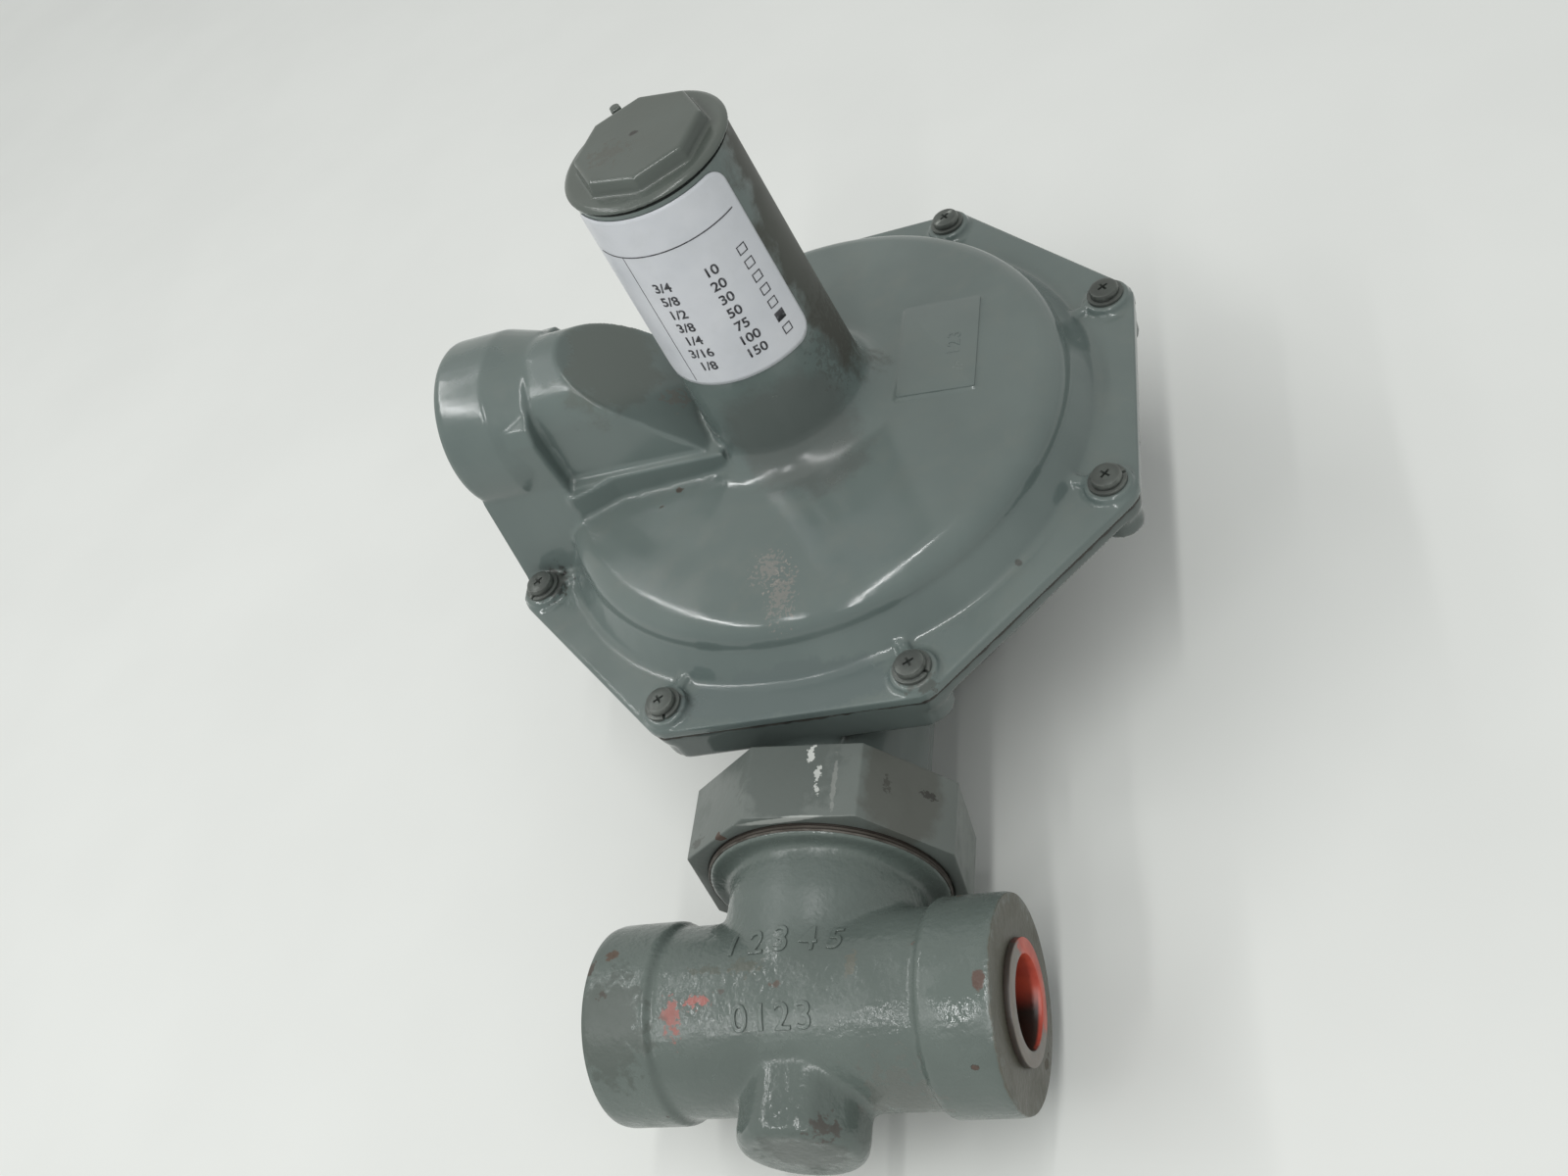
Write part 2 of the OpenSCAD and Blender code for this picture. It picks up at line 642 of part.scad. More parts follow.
// Stem that hangs from the relief spring and pulls the lever's long arm
module relief_stem() {
    eye_low = lever_droop_z - eye_gap - 2.4;
    color([0.62, 0.63, 0.64]) difference() {
        union() {
            rotate_extrude() polygon([[0, lever_droop_z + eye_gap + 2],
                [relief_stem_r + 0.5, lever_droop_z + eye_gap + 2],
                [relief_stem_r + 0.5, relief_disc_z],
                [relief_disc_r, relief_disc_z], [relief_disc_r, relief_disc_z + relief_disc_t],
                [relief_stem_r, relief_disc_z + relief_disc_t],
                [relief_stem_r, relief_nut_z + relief_nut_t + 1.5],
                [0, relief_nut_z + relief_nut_t + 1.5]]);
            translate([-lever_w / 2 - 2.4, -eye_depth / 2, eye_low])
                cube([lever_w + 4.8, eye_depth, 2 * eye_gap + 6.8]);
        }
        translate([-lever_w / 2 - clear_gap, -eye_depth, lever_droop_z - eye_gap])
            cube([lever_w + 2 * clear_gap, 2 * eye_depth, 2 * eye_gap]);
    }
}

module relief_pad() {
    color([0.10, 0.10, 0.10])
        ring(relief_disc_z + relief_disc_t, relief_pad_t - 0.1, relief_disc_r - 1, relief_stem_r + run_gap);
}

module relief_spring() {
    color([0.70, 0.71, 0.72])
        coil(head_top_z, relief_spring_l, relief_spring_r, relief_wire_d, relief_turns);
}

module relief_nut() {
    color([0.60, 0.61, 0.62]) translate([0, 0, relief_nut_z]) difference() {
        cylinder(h = relief_nut_t, r = 8, $fn = 6);
        translate([0, 0, -1]) cylinder(h = relief_nut_t + 2, r = relief_stem_r + run_gap);
    }
}

module main_spring() {
    color([0.55, 0.57, 0.60]) coil(plate_top_z, main_spring_top_z - plate_top_z,
        main_spring_r, main_wire_d, main_turns);
}

module spring_seat() {
    seat_r = barrel_bore_r - 1.2;
    color([0.66, 0.66, 0.62]) ring(main_spring_top_z, spring_seat_t, seat_r, adjuster_vent_r);
}

module adjusting_screw() {
    floor_t = 3;
    color([0.58, 0.60, 0.62]) translate([0, 0, adjuster_z]) difference() {
        cylinder(h = adjuster_h, r = barrel_thread_r - run_gap);
        translate([0, 0, floor_t])
            cylinder(h = adjuster_h, r = adjuster_socket / 2 / cos(30), $fn = 6);
        translate([0, 0, -1]) cylinder(h = adjuster_h, r = adjuster_vent_r);
    }
}

module cap_gasket() {
    color([0.08, 0.08, 0.08])
        ring(barrel_top_z, cap_gasket_t, barrel_top_r - 0.9, barrel_thread_r + clear_gap);
}

// Seal cap with an eight-sided grip, a sealing-wire ear and a threaded skirt
module seal_cap() {
    grip_turn = 8.4;
    rim_low = 0.7;
    rim_slope = 1.2;
    ear = [1.9, 2.8, cap_rim_t + 1.2];
    ear_angle = 120;
    skirt_r = barrel_thread_r - run_gap;
    color([0.30, 0.33, 0.33]) difference() {
        union() {
            translate([0, 0, cap_z]) rotate_extrude() polygon([[0, 0], [cap_rim_r, 0],
                [cap_rim_r, rim_low], [cap_rim_r - rim_slope, cap_rim_t], [0, cap_rim_t]]);
            translate([0, 0, cap_z + cap_rim_t - 0.1]) rotate(grip_turn) hull() {
                cylinder(h = 0.5, r = cap_grip_r + 0.9, $fn = 8);
                cylinder(h = cap_grip_h - 0.3, r = cap_grip_r + 0.2, $fn = 8);
                cylinder(h = cap_grip_h + 0.1, r = cap_grip_r - 0.6, $fn = 8);
            }
            translate([0, 0, cap_z - cap_skirt_l]) cylinder(h = cap_skirt_l + 1, r = skirt_r);
            rotate(ear_angle) translate([cap_rim_r - 0.8, 0, cap_z + 0.2]) {
                translate([0, -ear.y / 2, 0]) cube(ear);
                translate([ear.x, 0, 0]) cylinder(h = ear.z, r = ear.y / 2);
            }
        }
        translate([0, 0, cap_z - cap_skirt_l - 1])
            cylinder(h = cap_skirt_l + 1, r = skirt_r - 3);
        rotate(ear_angle) translate([cap_rim_r + 1, -ear.y, cap_z + ear.z / 2 + 0.4])
            rotate([-90, 0, 0]) cylinder(h = 2 * ear.y, r = 0.7, $fn = 24);
    }
}

module label() {
    low = label_top_z - label_h;
    low_r = barrel_r(low) + label_glue;
    top_r = barrel_r(label_top_z) + label_glue;
    color([0.93, 0.94, 0.96]) rotate(label_middle - label_wrap / 2)
        rotate_extrude(angle = label_wrap) polygon([[low_r, low], [low_r + label_t, low],
            [top_r + label_t, label_top_z], [top_r, label_top_z]]);
}

// Insect screen across the vent, as crossed wires in a rim
module vent_screen() {
    rim_r = screen_pocket_r - 0.05;
    rim_w = 2.4;
    pitch = 2.7;
    thin = 0.5;
    color([0.55, 0.56, 0.57]) translate([screen_x, 0, vent_z]) rotate([0, 90, 0]) {
        ring(0, screen_wire, rim_r, rim_r - rim_w);
        for (turn = [0, 90], k = [-4:4]) rotate(turn) {
            half = sqrt(pow(rim_r - 1, 2) - pow(k * pitch, 2));
            translate([-half, k * pitch - thin / 2, 0.15]) cube([2 * half, thin, thin]);
        }
    }
}

module screen_ring() {
    thick = 1.2;
    gap = 4;
    outer = screen_pocket_r - 0.05;
    color([0.50, 0.51, 0.52]) translate([screen_x - thick, 0, vent_z]) rotate([0, 90, 0])
        difference() {
            ring(0, thick, outer, outer - 1.6);
            translate([outer - gap / 2, -gap / 2, -1]) cube([gap, gap, gap]);
        }
}

module vent_valve() {
    disc_r = vent_chamber_r - 1.5;
    disc_low = 0.05;
    stub = [1.5, vent_seat_z - vent_guide_z + 1];
    color([0.15, 0.15, 0.16]) translate([-vent_valve_x, 0, vent_seat_z])
        rotate_extrude() polygon([[0, -stub.y], [stub.x, -stub.y], [stub.x, disc_low],
            [disc_r, disc_low], [disc_r, 1.2], [2.5, 1.2], [1.8, 2.4], [0, 2.4]]);
}

// Spider pressed into the vent seat that guides the valve's stub
module vent_guide() {
    height = 3;
    hub_r = 3.2;
    color([0.60, 0.60, 0.58]) translate([-vent_valve_x, 0, vent_guide_z]) {
        ring(0, height, vent_seat_r - 0.05, vent_seat_r - 1.2);
        ring(0, height, hub_r, 1.5 + run_gap);
        for (turn = [30:120:270]) rotate(turn) translate([hub_r - 0.4, -0.6, 0])
            cube([vent_seat_r - hub_r - 0.4, 1.2, height]);
    }
}

// Bell crank that turns the diaphragm's lift into the valve stem's push
module lever() {
    arm_t = 2;
    color([0.66, 0.62, 0.45]) translate([-lever_w / 2, pin_y, pin_z]) rotate([90, 0, 90])
        linear_extrude(height = lever_w) difference() {
            union() {
                circle(r = lever_hub_r);
                rotate(-lever_swing) {
                    translate([0, -arm_t / 2]) square([lever_long, arm_t]);
                    translate([lever_long, 0]) circle(r = lever_tip_r);
                }
                rotate(90 - lever_swing) {
                    translate([0, -arm_t / 2]) square([lever_short, arm_t]);
                    translate([lever_short, 0]) circle(r = lever_tip_r);
                }
            }
            circle(r = lever_pin_r + run_gap);
        }
}

module lever_pin() {
    half = lug_x + lug_w + 1.6;
    color([0.72, 0.73, 0.74]) translate([-half, pin_y, pin_z]) rotate([0, 90, 0])
        cylinder(h = 2 * half, r = lever_pin_r - 0.01);
}

// Two clips that keep the pin in its lugs
module pin_clips() {
    color([0.45, 0.46, 0.47]) for (side = [-1, 1])
        translate([side * (lug_x + lug_w + 0.6) - 0.4, pin_y, pin_z]) rotate([0, 90, 0])
            difference() {
                cylinder(h = 0.8, r = lever_pin_r + 1.8);
                translate([0, 0, -1]) cylinder(h = 3, r = lever_pin_r);
                translate([0, -0.5, -1]) cube([6, 1, 3]);
            }
}

module valve_stem() {
    notch_y = -pin_y - lever_short * sin(lever_swing);
    notch = lever_tip_r + clear_gap;
    tail = notch + 3;
    half_h = valve_stem_r + 0.6;
    near = notch_y - tail;
    color([0.68, 0.69, 0.70]) difference() {
        union() {
            along_union(near, disc_face_y - disc_t - near - 2, valve_stem_r);
            translate([-lever_w / 2 - 2, -notch_y - tail, union_z - half_h])
                cube([lever_w + 4, 2 * tail, 2 * half_h]);
        }
        translate([-lever_w / 2 - clear_gap, -notch_y - notch, union_z - 8])
            cube([lever_w + 2 * clear_gap, 2 * notch, 8 + lever_tip_r + clear_gap]);
    }
}

module stem_guide() {
    hole_x = (neck_bore_r + valve_stem_r) / 2 + 0.5;
    hole_r = (neck_bore_r - valve_stem_r) / 2 - 3.4;
    color([0.60, 0.56, 0.42]) difference() {
        along_union(guide_y, guide_w, neck_bore_r - 0.05);
        along_union(guide_y - 1, guide_w + 2, valve_stem_r + run_gap);
        for (turn = [45:90:315]) translate([0, -guide_y + 1, union_z]) rotate([90, 0, 0])
            rotate(turn) translate([hole_x, 0, 0]) cylinder(h = guide_w + 2, r = hole_r);
    }
}

module disc_holder() {
    back_y = disc_face_y - disc_t - holder_t + 2;
    color([0.74, 0.60, 0.34]) difference() {
        along_union(back_y, holder_t, holder_r);
        along_union(back_y - 2, holder_t, valve_stem_r + tiny);
        along_union(disc_face_y - disc_t - tiny, disc_t, holder_r - 1.5);
    }
}

module seat_disc() {
    color([0.09, 0.09, 0.09])
        along_union(disc_face_y - disc_t + tiny, disc_t - tiny, holder_r - 1.6);
}

module orifice() {
    thread_l = 7;
    hex_t = 4;
    cone_l = 4;
    color([0.75, 0.62, 0.30]) difference() {
        union() {
            along_union(web_y, thread_l, orifice_thread_r - run_gap);
            along_union(web_y - hex_t, hex_t, orifice_thread_r + 2.2, 6);
            translate([0, -seat_y, union_z]) rotate([90, 0, 0])
                cylinder(h = cone_l, r1 = orifice_r + 0.7, r2 = orifice_thread_r - 1);
        }
        along_union(seat_y - 1, web_y + thread_l - seat_y + 2, orifice_r);
    }
}

module union_gasket() {
    color([0.13, 0.13, 0.13]) difference() {
        along_union(neck_end_y, union_gasket_t, neck_r - 0.4);
        along_union(neck_end_y - 1, union_gasket_t + 2, neck_bore_r - 0.5);
    }
}

module snap_ring() {
    color([0.35, 0.36, 0.37]) translate([0, -snap_y, union_z]) rotate([90, 0, 0])
        rotate(100) rotate_extrude(angle = 340)
            translate([neck_r, 0]) circle(d = snap_wire_d - 0.02);
}

module union_nut() {
    chamfer = 0.6;
    color([0.30, 0.33, 0.34]) translate([0, -nut_y, union_z]) rotate([90, 0, 0]) difference() {
        rotate(nut_turn) cylinder(h = nut_w, r = nut_corner_r, $fn = 8);
        translate([0, 0, -1]) cylinder(h = nut_w + 2, r = neck_r + clear_gap);
        translate([0, 0, lip_w]) cylinder(h = nut_w, r = collar_r + run_gap);
        translate([0, 0, nut_w - chamfer])
            cylinder(h = chamfer + 1, r1 = collar_r, r2 = collar_r + chamfer + 1);
    }
}

module body_outside() {
    round = 1.2;
    collar_edge = 0.8;
    shoulder_d = flow_y - nut_far_y - collar_out;
    flare_r = body_r - 0.1;
    flare = [14, 22];
    cove = min(2.2, collar_r - collar_edge - neck_waist_r);
    face_d = flow_y - collar_y;
    boss_round = 4;
    boss_turned_r = boss_r + 0.4;
    for (end = [[-1, inlet_hub_r], [1, outlet_hub_r]])
        translate([end[0] * port_x, -flow_y, union_z]) rotate([0, -90 * end[0], 0])
            rotate_extrude() polygon([[0, 0], [end[1] - round, 0], [end[1], round],
                [end[1], hub_l - 1], [end[1] - 1, hub_l], [0, hub_l]]);
    translate([2 - port_x, -flow_y, union_z]) rotate([0, 90, 0])
        cylinder(h = face_to_face - 4, r = body_r);
    translate([0, -flow_y, union_z]) rotate([-90, 0, 0]) rotate_extrude() polygon(concat(
        [[0, 0], [flare_r, 0], [flare_r, flare[0]], [neck_waist_r, flare[1]]],
        arc(neck_waist_r + cove, shoulder_d - cove, cove, 180, 90),
        [[collar_r - collar_edge, shoulder_d], [collar_r, shoulder_d + collar_edge],
         [collar_r, face_d - 1], [collar_r - 1, face_d], [0, face_d]]));
    translate([0, -flow_y, union_z]) rotate([90, 0, 0]) intersection() {
        rotate(22.5) cylinder(h = boss_end, r = boss_r + 1.1, $fn = 8);
        rotate_extrude() polygon(concat([[0, 0], [boss_turned_r, 0]],
            arc(boss_turned_r - boss_round, boss_end - boss_round, boss_round, 0, 70, 4),
            [[0, boss_end]]));
    }
}

module body_inside() {
    cavity_r = 10;
    well_r = 17;
    outlet_wall_x = 24;
    passage_x = outlet_wall_x + 4;
    translate([-port_x - 1, -flow_y, union_z]) rotate([0, 90, 0])
        cylinder(h = port_l + 1, r = port_r);
    translate([-port_x, -flow_y, union_z]) rotate([0, 90, 0])
        cylinder(h = port_x + 7, r = cavity_r);
    translate([port_x - port_l, -flow_y, union_z]) rotate([0, 90, 0])
        cylinder(h = port_l + 1, r = port_r);
    translate([outlet_wall_x, -flow_y, union_z]) rotate([0, 90, 0])
        cylinder(h = port_x - outlet_wall_x, r = cavity_r);
    translate([passage_x, -flow_y, union_z]) rotate([-90, 0, 0]) rotate([0, -36, 0])
        cylinder(h = 26, r = 6.5);
    along_union(collar_y - 1, web_y - collar_y + 1, well_r);
    along_union(web_y - 1, flow_y - web_y - 2, orifice_thread_r);
}

module valve_body() {
    color([0.37, 0.41, 0.42]) difference() {
        body_outside();
        body_inside();
    }
}

// Plastic plug that keeps dirt out of the outlet's thread
module thread_protector() {
    sleeve = port_l - 2;
    color([0.78, 0.16, 0.10]) translate([port_x, -flow_y, union_z]) rotate([0, 90, 0])
        difference() {
            union() {
                cylinder(h = protector_lip_t, r = protector_lip_r);
                translate([0, 0, -sleeve]) cylinder(h = sleeve + 1, r = port_r - run_gap);
            }
            translate([0, 0, -sleeve - 1])
                cylinder(h = sleeve + 10, r = port_r - run_gap - protector_wall);
        }
}

upper_case();
spring_barrel();
lower_case();
case_screws();
lock_washers();
diaphragm();
diaphragm_plate();
diaphragm_head();
head_nut();
relief_stem();
relief_pad();
relief_spring();
relief_nut();
main_spring();
spring_seat();
adjusting_screw();
cap_gasket();
seal_cap();
label();
vent_screen();
screen_ring();
vent_valve();
vent_guide();
lever();
lever_pin();
pin_clips();
valve_stem();
stem_guide();
disc_holder();
seat_disc();
orifice();
union_gasket();
snap_ring();
union_nut();
valve_body();
thread_protector();
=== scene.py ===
import json
from math import atan2, cos, hypot, pi, radians, sin, tan

import bmesh
import bpy
from mathutils import Matrix, Vector, noise
from mathutils.bvhtree import BVHTree

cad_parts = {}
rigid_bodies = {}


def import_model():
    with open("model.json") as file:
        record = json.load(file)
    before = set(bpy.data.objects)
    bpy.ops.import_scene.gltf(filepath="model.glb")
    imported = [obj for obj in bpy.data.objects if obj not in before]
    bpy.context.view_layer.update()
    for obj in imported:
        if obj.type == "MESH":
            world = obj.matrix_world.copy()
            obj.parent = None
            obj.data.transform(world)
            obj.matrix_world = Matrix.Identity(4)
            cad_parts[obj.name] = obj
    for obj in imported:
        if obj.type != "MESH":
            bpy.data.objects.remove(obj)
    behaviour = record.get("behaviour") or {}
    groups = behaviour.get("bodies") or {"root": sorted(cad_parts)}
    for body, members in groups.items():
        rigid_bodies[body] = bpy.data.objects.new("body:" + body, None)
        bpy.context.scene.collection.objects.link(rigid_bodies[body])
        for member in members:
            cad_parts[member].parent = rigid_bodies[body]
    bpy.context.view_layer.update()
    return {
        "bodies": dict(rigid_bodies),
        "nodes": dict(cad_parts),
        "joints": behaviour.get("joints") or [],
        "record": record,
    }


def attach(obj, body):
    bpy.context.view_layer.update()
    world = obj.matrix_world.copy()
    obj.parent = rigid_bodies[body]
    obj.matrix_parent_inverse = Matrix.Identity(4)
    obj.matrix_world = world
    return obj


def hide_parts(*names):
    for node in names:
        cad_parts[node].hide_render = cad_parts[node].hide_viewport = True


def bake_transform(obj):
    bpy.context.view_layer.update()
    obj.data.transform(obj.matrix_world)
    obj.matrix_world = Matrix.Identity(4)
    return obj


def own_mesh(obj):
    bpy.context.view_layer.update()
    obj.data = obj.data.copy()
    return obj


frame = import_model()
nodes = frame["nodes"]
print("frame loaded")

# where the parts are, in metres, as the CAD has them
places = {
    "unionZ": 0.036732, "flowY": -0.154, "portX": 0.05205, "ventFaceX": -0.091142, "ventZ": 0.113532,
    "domeTopZ": 0.094432, "barrelTopZ": 0.182532, "barrelFootR": 0.0232, "barrelTopR": 0.0209,
    "washerTopZ": 0.078232, "screwCircleR": 0.09075, "firstScrew": 22.5, "domeFlatR": 0.0322, "domeSlope": 5.18,
}


weldWithin = 0.000001


def addPiece(name, mesh):
    piece = bpy.data.objects.new(name, mesh)
    bpy.context.scene.collection.objects.link(piece)
    return piece


def pieceFrom(name, bm, smooth=True):
    mesh = bpy.data.meshes.new(name)
    for face in bm.faces:
        face.smooth = smooth
    bm.to_mesh(mesh)
    bm.free()
    return addPiece(name, mesh)


def mergedCopy(name, nodeNames):
    bm = bmesh.new()
    for nodeName in nodeNames:
        bm.from_mesh(nodes[nodeName].data)
    bmesh.ops.remove_doubles(bm, verts=bm.verts, dist=2 * weldWithin)
    return pieceFrom(name, bm, smooth=False)


def addModifier(piece, kind, **values):
    made = piece.modifiers.new(kind.lower(), kind)
    for key, value in values.items():
        setattr(made, key, value)


def applyModifiers(piece):
    graph = bpy.context.evaluated_depsgraph_get()
    mesh = bpy.data.meshes.new_from_object(piece.evaluated_get(graph))
    piece.modifiers.clear()
    piece.data = mesh


def editMesh(piece, action, *values):
    bm = bmesh.new()
    bm.from_mesh(piece.data)
    action(bm, *values)
    bm.to_mesh(piece.data)
    bm.free()


# moves, sizes and turns are all about the origin
def moveBy(bm, verts, vec):
    bmesh.ops.translate(bm, verts=verts, vec=vec)


def sizeBy(bm, verts, vec):
    bmesh.ops.scale(bm, verts=verts, vec=vec)


def turnBy(bm, verts, degrees, axis="Z"):
    bmesh.ops.rotate(bm, verts=verts, matrix=Matrix.Rotation(radians(degrees), 3, axis))


def faceOut(bm):
    bmesh.ops.recalc_face_normals(bm, faces=bm.faces)


def shadeByAngle(bm, degrees=32):
    for face in bm.faces:
        face.smooth = True
    for edge in bm.edges:
        edge.smooth = edge.calc_face_angle(0) < radians(degrees)


# cuts a mesh at a plane and gives the edges of the cut
def cutAt(bm, spot, normal, clear=False):
    cut = bmesh.ops.bisect_plane(bm, geom=bm.verts[:] + bm.edges[:] + bm.faces[:], plane_co=spot,
                                 plane_no=normal, clear_outer=clear)
    return [g for g in cut["geom_cut"] if isinstance(g, bmesh.types.BMEdge)]


def alongAxis(axis, length):
    return Vector([length if i == axis else 0 for i in range(3)])


def thinOut(piece, ratio):
    addModifier(piece, "DECIMATE", ratio=ratio)
    applyModifiers(piece)
    for polygon in piece.data.polygons:
        polygon.use_smooth = True


def finishPiece(piece, body, material, stands=()):
    piece.data.materials.clear()
    piece.data.materials.append(material)
    if stands:
        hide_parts(*stands)
    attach(piece, body)
    return piece


machiningStock = 0.003  # how far a face to be machined is cast past its place
machinedRim = 0.0006  # the strip of even faces inside a machined face's edge
faceSlack = 0.00005
boreClearance = 0.0001


def stretchFaces(bm, faces):
    for axis, place in faces:
        side = 1 if place > 0 else -1
        ends = [v for v in bm.verts if side * (v.co[axis] - place) > -faceSlack]
        moveBy(bm, ends, alongAxis(axis, side * machiningStock))


# cuts the stock back to a flat face with a crisp rim, as a lathe does
def machineFaces(bm, faces):
    for axis, place in faces:
        normal = alongAxis(axis, 1 if place > 0 else -1)
        rim = cutAt(bm, alongAxis(axis, place), normal, clear=True)
        filled = bmesh.ops.triangle_fill(bm, edges=rim, use_beauty=True, normal=normal)
        for edge in rim:
            edge.smooth = False
        flats = [g for g in filled["geom"] if isinstance(g, bmesh.types.BMFace)]
        for flat in flats:
            flat.smooth = True
            if flat.normal.dot(normal) < 0:
                flat.normal_flip()
        bmesh.ops.inset_region(bm, faces=flats, thickness=machinedRim, use_even_offset=True, use_boundary=True)


# opens a bore that the softening drew in
def clearBores(piece, bores):
    for bore in bores:
        clear = bore["radius"] + boreClearance
        for v in piece.data.vertices:
            away = hypot(v.co.x, v.co.y)
            if bore["low"] <= v.co.z <= bore["high"] and bore["radius"] - bore["reach"] < away < clear:
                v.co.x *= clear / away
                v.co.y *= clear / away


def blendZone(bm, zone):
    picked = [v for v in bm.verts if all(zone["low"][i] <= v.co[i] <= zone["high"][i] for i in range(3))]
    for _ in range(zone["passes"]):
        bmesh.ops.smooth_vert(bm, verts=picked, factor=0.5, use_axis_x=True, use_axis_y=True, use_axis_z=True)


# a casting: its CAD solids fused on a fine grid, with edges and corners run soft as a mould leaves them
def softCasting(name, look):
    piece = mergedCopy(name, look["nodes"])
    editMesh(piece, stretchFaces, look.get("machined", ()))
    addModifier(piece, "REMESH", mode="VOXEL", voxel_size=look["grid"], use_smooth_shade=True)
    addModifier(piece, "SMOOTH", factor=0.5, iterations=look["softness"])
    applyModifiers(piece)
    for zone in look.get("blends", ()):
        editMesh(piece, blendZone, zone)
    triangles = sum(len(p.vertices) - 2 for p in piece.data.polygons)
    if triangles > look["most"]:
        thinOut(piece, look["most"] / triangles)
    clearBores(piece, look.get("bores", ()))
    editMesh(piece, machineFaces, look.get("machined", ()))
    return piece


# small hardware: the CAD shape with its sharp edges broken
def brokenEdges(name, nodeNames, width, segments=2, angle=35):
    piece = mergedCopy(name, nodeNames)
    editMesh(piece, lambda bm: bmesh.ops.dissolve_limit(
        bm, angle_limit=radians(0.5), verts=bm.verts, edges=bm.edges))
    addModifier(piece, "BEVEL", width=width, segments=segments, limit_method="ANGLE",
                angle_limit=radians(angle), use_clamp_overlap=True)
    applyModifiers(piece)
    editMesh(piece, shadeByAngle)
    return piece


def setInputs(tree, node, inputs):
    for key, value in inputs.items():
        if isinstance(value, bpy.types.NodeSocket):
            tree.links.new(value, node.inputs[key])
        else:
            node.inputs[key].default_value = value
    return node


def placeNode(tree, kind, props=None, inputs=None):
    made = tree.nodes.new(kind)
    for key, value in (props or {}).items():
        setattr(made, key, value)
    return setInputs(tree, made, inputs or {})


def newGroup(name, ins, outs):
    tree = bpy.data.node_groups.new(name, "ShaderNodeTree")
    for label, value in ins.items():
        kind = "NodeSocketFloat" if isinstance(value, float) else "NodeSocketVector"
        socket = tree.interface.new_socket(label, in_out="INPUT", socket_type=kind)
        if value is not None:
            socket.default_value = value
    for label in outs:
        tree.interface.new_socket(label, in_out="OUTPUT", socket_type="NodeSocketFloat")
    return tree, tree.nodes.new("NodeGroupInput").outputs, tree.nodes.new("NodeGroupOutput").inputs


def sums(tree, operation, a, b=None, c=None, clamp=False):
    inputs = {i: v for i, v in enumerate((a, b, c)) if v is not None}
    return placeNode(tree, "ShaderNodeMath", {"operation": operation, "use_clamp": clamp}, inputs).outputs[0]


def times(tree, a, b):
    return sums(tree, "MULTIPLY", a, b)


def timesPlus(tree, a, b, c, clamp=False):
    return sums(tree, "MULTIPLY_ADD", a, b, c, clamp)


def vectors(tree, operation, *values):
    return placeNode(tree, "ShaderNodeVectorMath", {"operation": operation}, dict(enumerate(values)))


def noiseOf(tree, vector, scale, detail, roughness=0.5):
    return placeNode(tree, "ShaderNodeTexNoise", None, {
        "Vector": vector, "Scale": scale, "Detail": detail, "Roughness": roughness})


def ramp(tree, value, low, high, toLow=0.0, toHigh=1.0):
    return placeNode(tree, "ShaderNodeMapRange", {"interpolation_type": "SMOOTHSTEP"}, {
        "Value": value, "From Min": low, "From Max": high, "To Min": toLow, "To Max": toHigh}).outputs[0]


def rgb(*values):
    return (*values, 1.0)


def mixColor(tree, factor, a, b):
    a, b = (rgb(*tint) if isinstance(tint, tuple) else tint for tint in (a, b))
    return placeNode(tree, "ShaderNodeMix", {"data_type": "RGBA"}, {0: factor, 6: a, 7: b}).outputs[2]


# orange peel of sprayed paint over a cast skin, as a height
def makePeelGroup():
    tree, start, end = newGroup("paintPeel", {
        "Vector": None, "Fine": 900.0, "Coarse": 180.0, "Coarse Share": 0.5}, ["Height"])
    fine = noiseOf(tree, start["Vector"], start["Fine"], 2.0)
    coarse = noiseOf(tree, start["Vector"], start["Coarse"], 2.0, 0.45)
    grown = times(tree, coarse.outputs[0], start["Coarse Share"])
    small = times(tree, fine.outputs[0], sums(tree, "SUBTRACT", 1.0, start["Coarse Share"]))
    tree.links.new(sums(tree, "ADD", grown, small), end["Height"])
    return tree


# slow changes over a surface: a soft blotch and a streaky one
def makeBlotchGroup():
    tree, start, end = newGroup("slowBlotch", {"Vector": None, "Scale": 30.0}, ["Soft", "Patchy"])
    soft = noiseOf(tree, start["Vector"], start["Scale"], 3.0, 0.55)
    shifted = vectors(tree, "ADD", start["Vector"], (0.37, 0.11, 0.23))
    patchy = noiseOf(tree, shifted.outputs[0], times(tree, start["Scale"], 3.3), 6.0, 0.65)
    tree.links.new(ramp(tree, soft.outputs[0], 0.3, 0.7), end["Soft"])
    tree.links.new(ramp(tree, patchy.outputs[0], 0.45, 0.72), end["Patchy"])
    return tree


# small chips or specks of one size, with ragged edges
def makeSpeckGroup():
    tree, start, end = newGroup("ragSpecks", {"Vector": None, "Scale": 90.0, "Amount": 0.3}, ["Mask"])
    wobble = noiseOf(tree, start["Vector"], 900.0, 3.0)
    offset = placeNode(tree, "ShaderNodeVectorMath", {"operation": "SCALE"}, {
        0: wobble.outputs["Color"], "Scale": 0.0016})
    moved = vectors(tree, "ADD", start["Vector"], offset.outputs[0])
    cells = placeNode(tree, "ShaderNodeTexVoronoi", {"feature": "F1"}, {
        "Vector": moved.outputs[0], "Scale": start["Scale"]})
    chosen = placeNode(tree, "ShaderNodeSeparateColor", None, {"Color": cells.outputs["Color"]})
    kept = sums(tree, "LESS_THAN", chosen.outputs[0], start["Amount"])
    size = timesPlus(tree, chosen.outputs[1], 0.22, 0.06)
    near = sums(tree, "SUBTRACT", size, cells.outputs["Distance"])
    tree.links.new(times(tree, ramp(tree, near, 0.0, 0.03), kept), end["Mask"])
    return tree


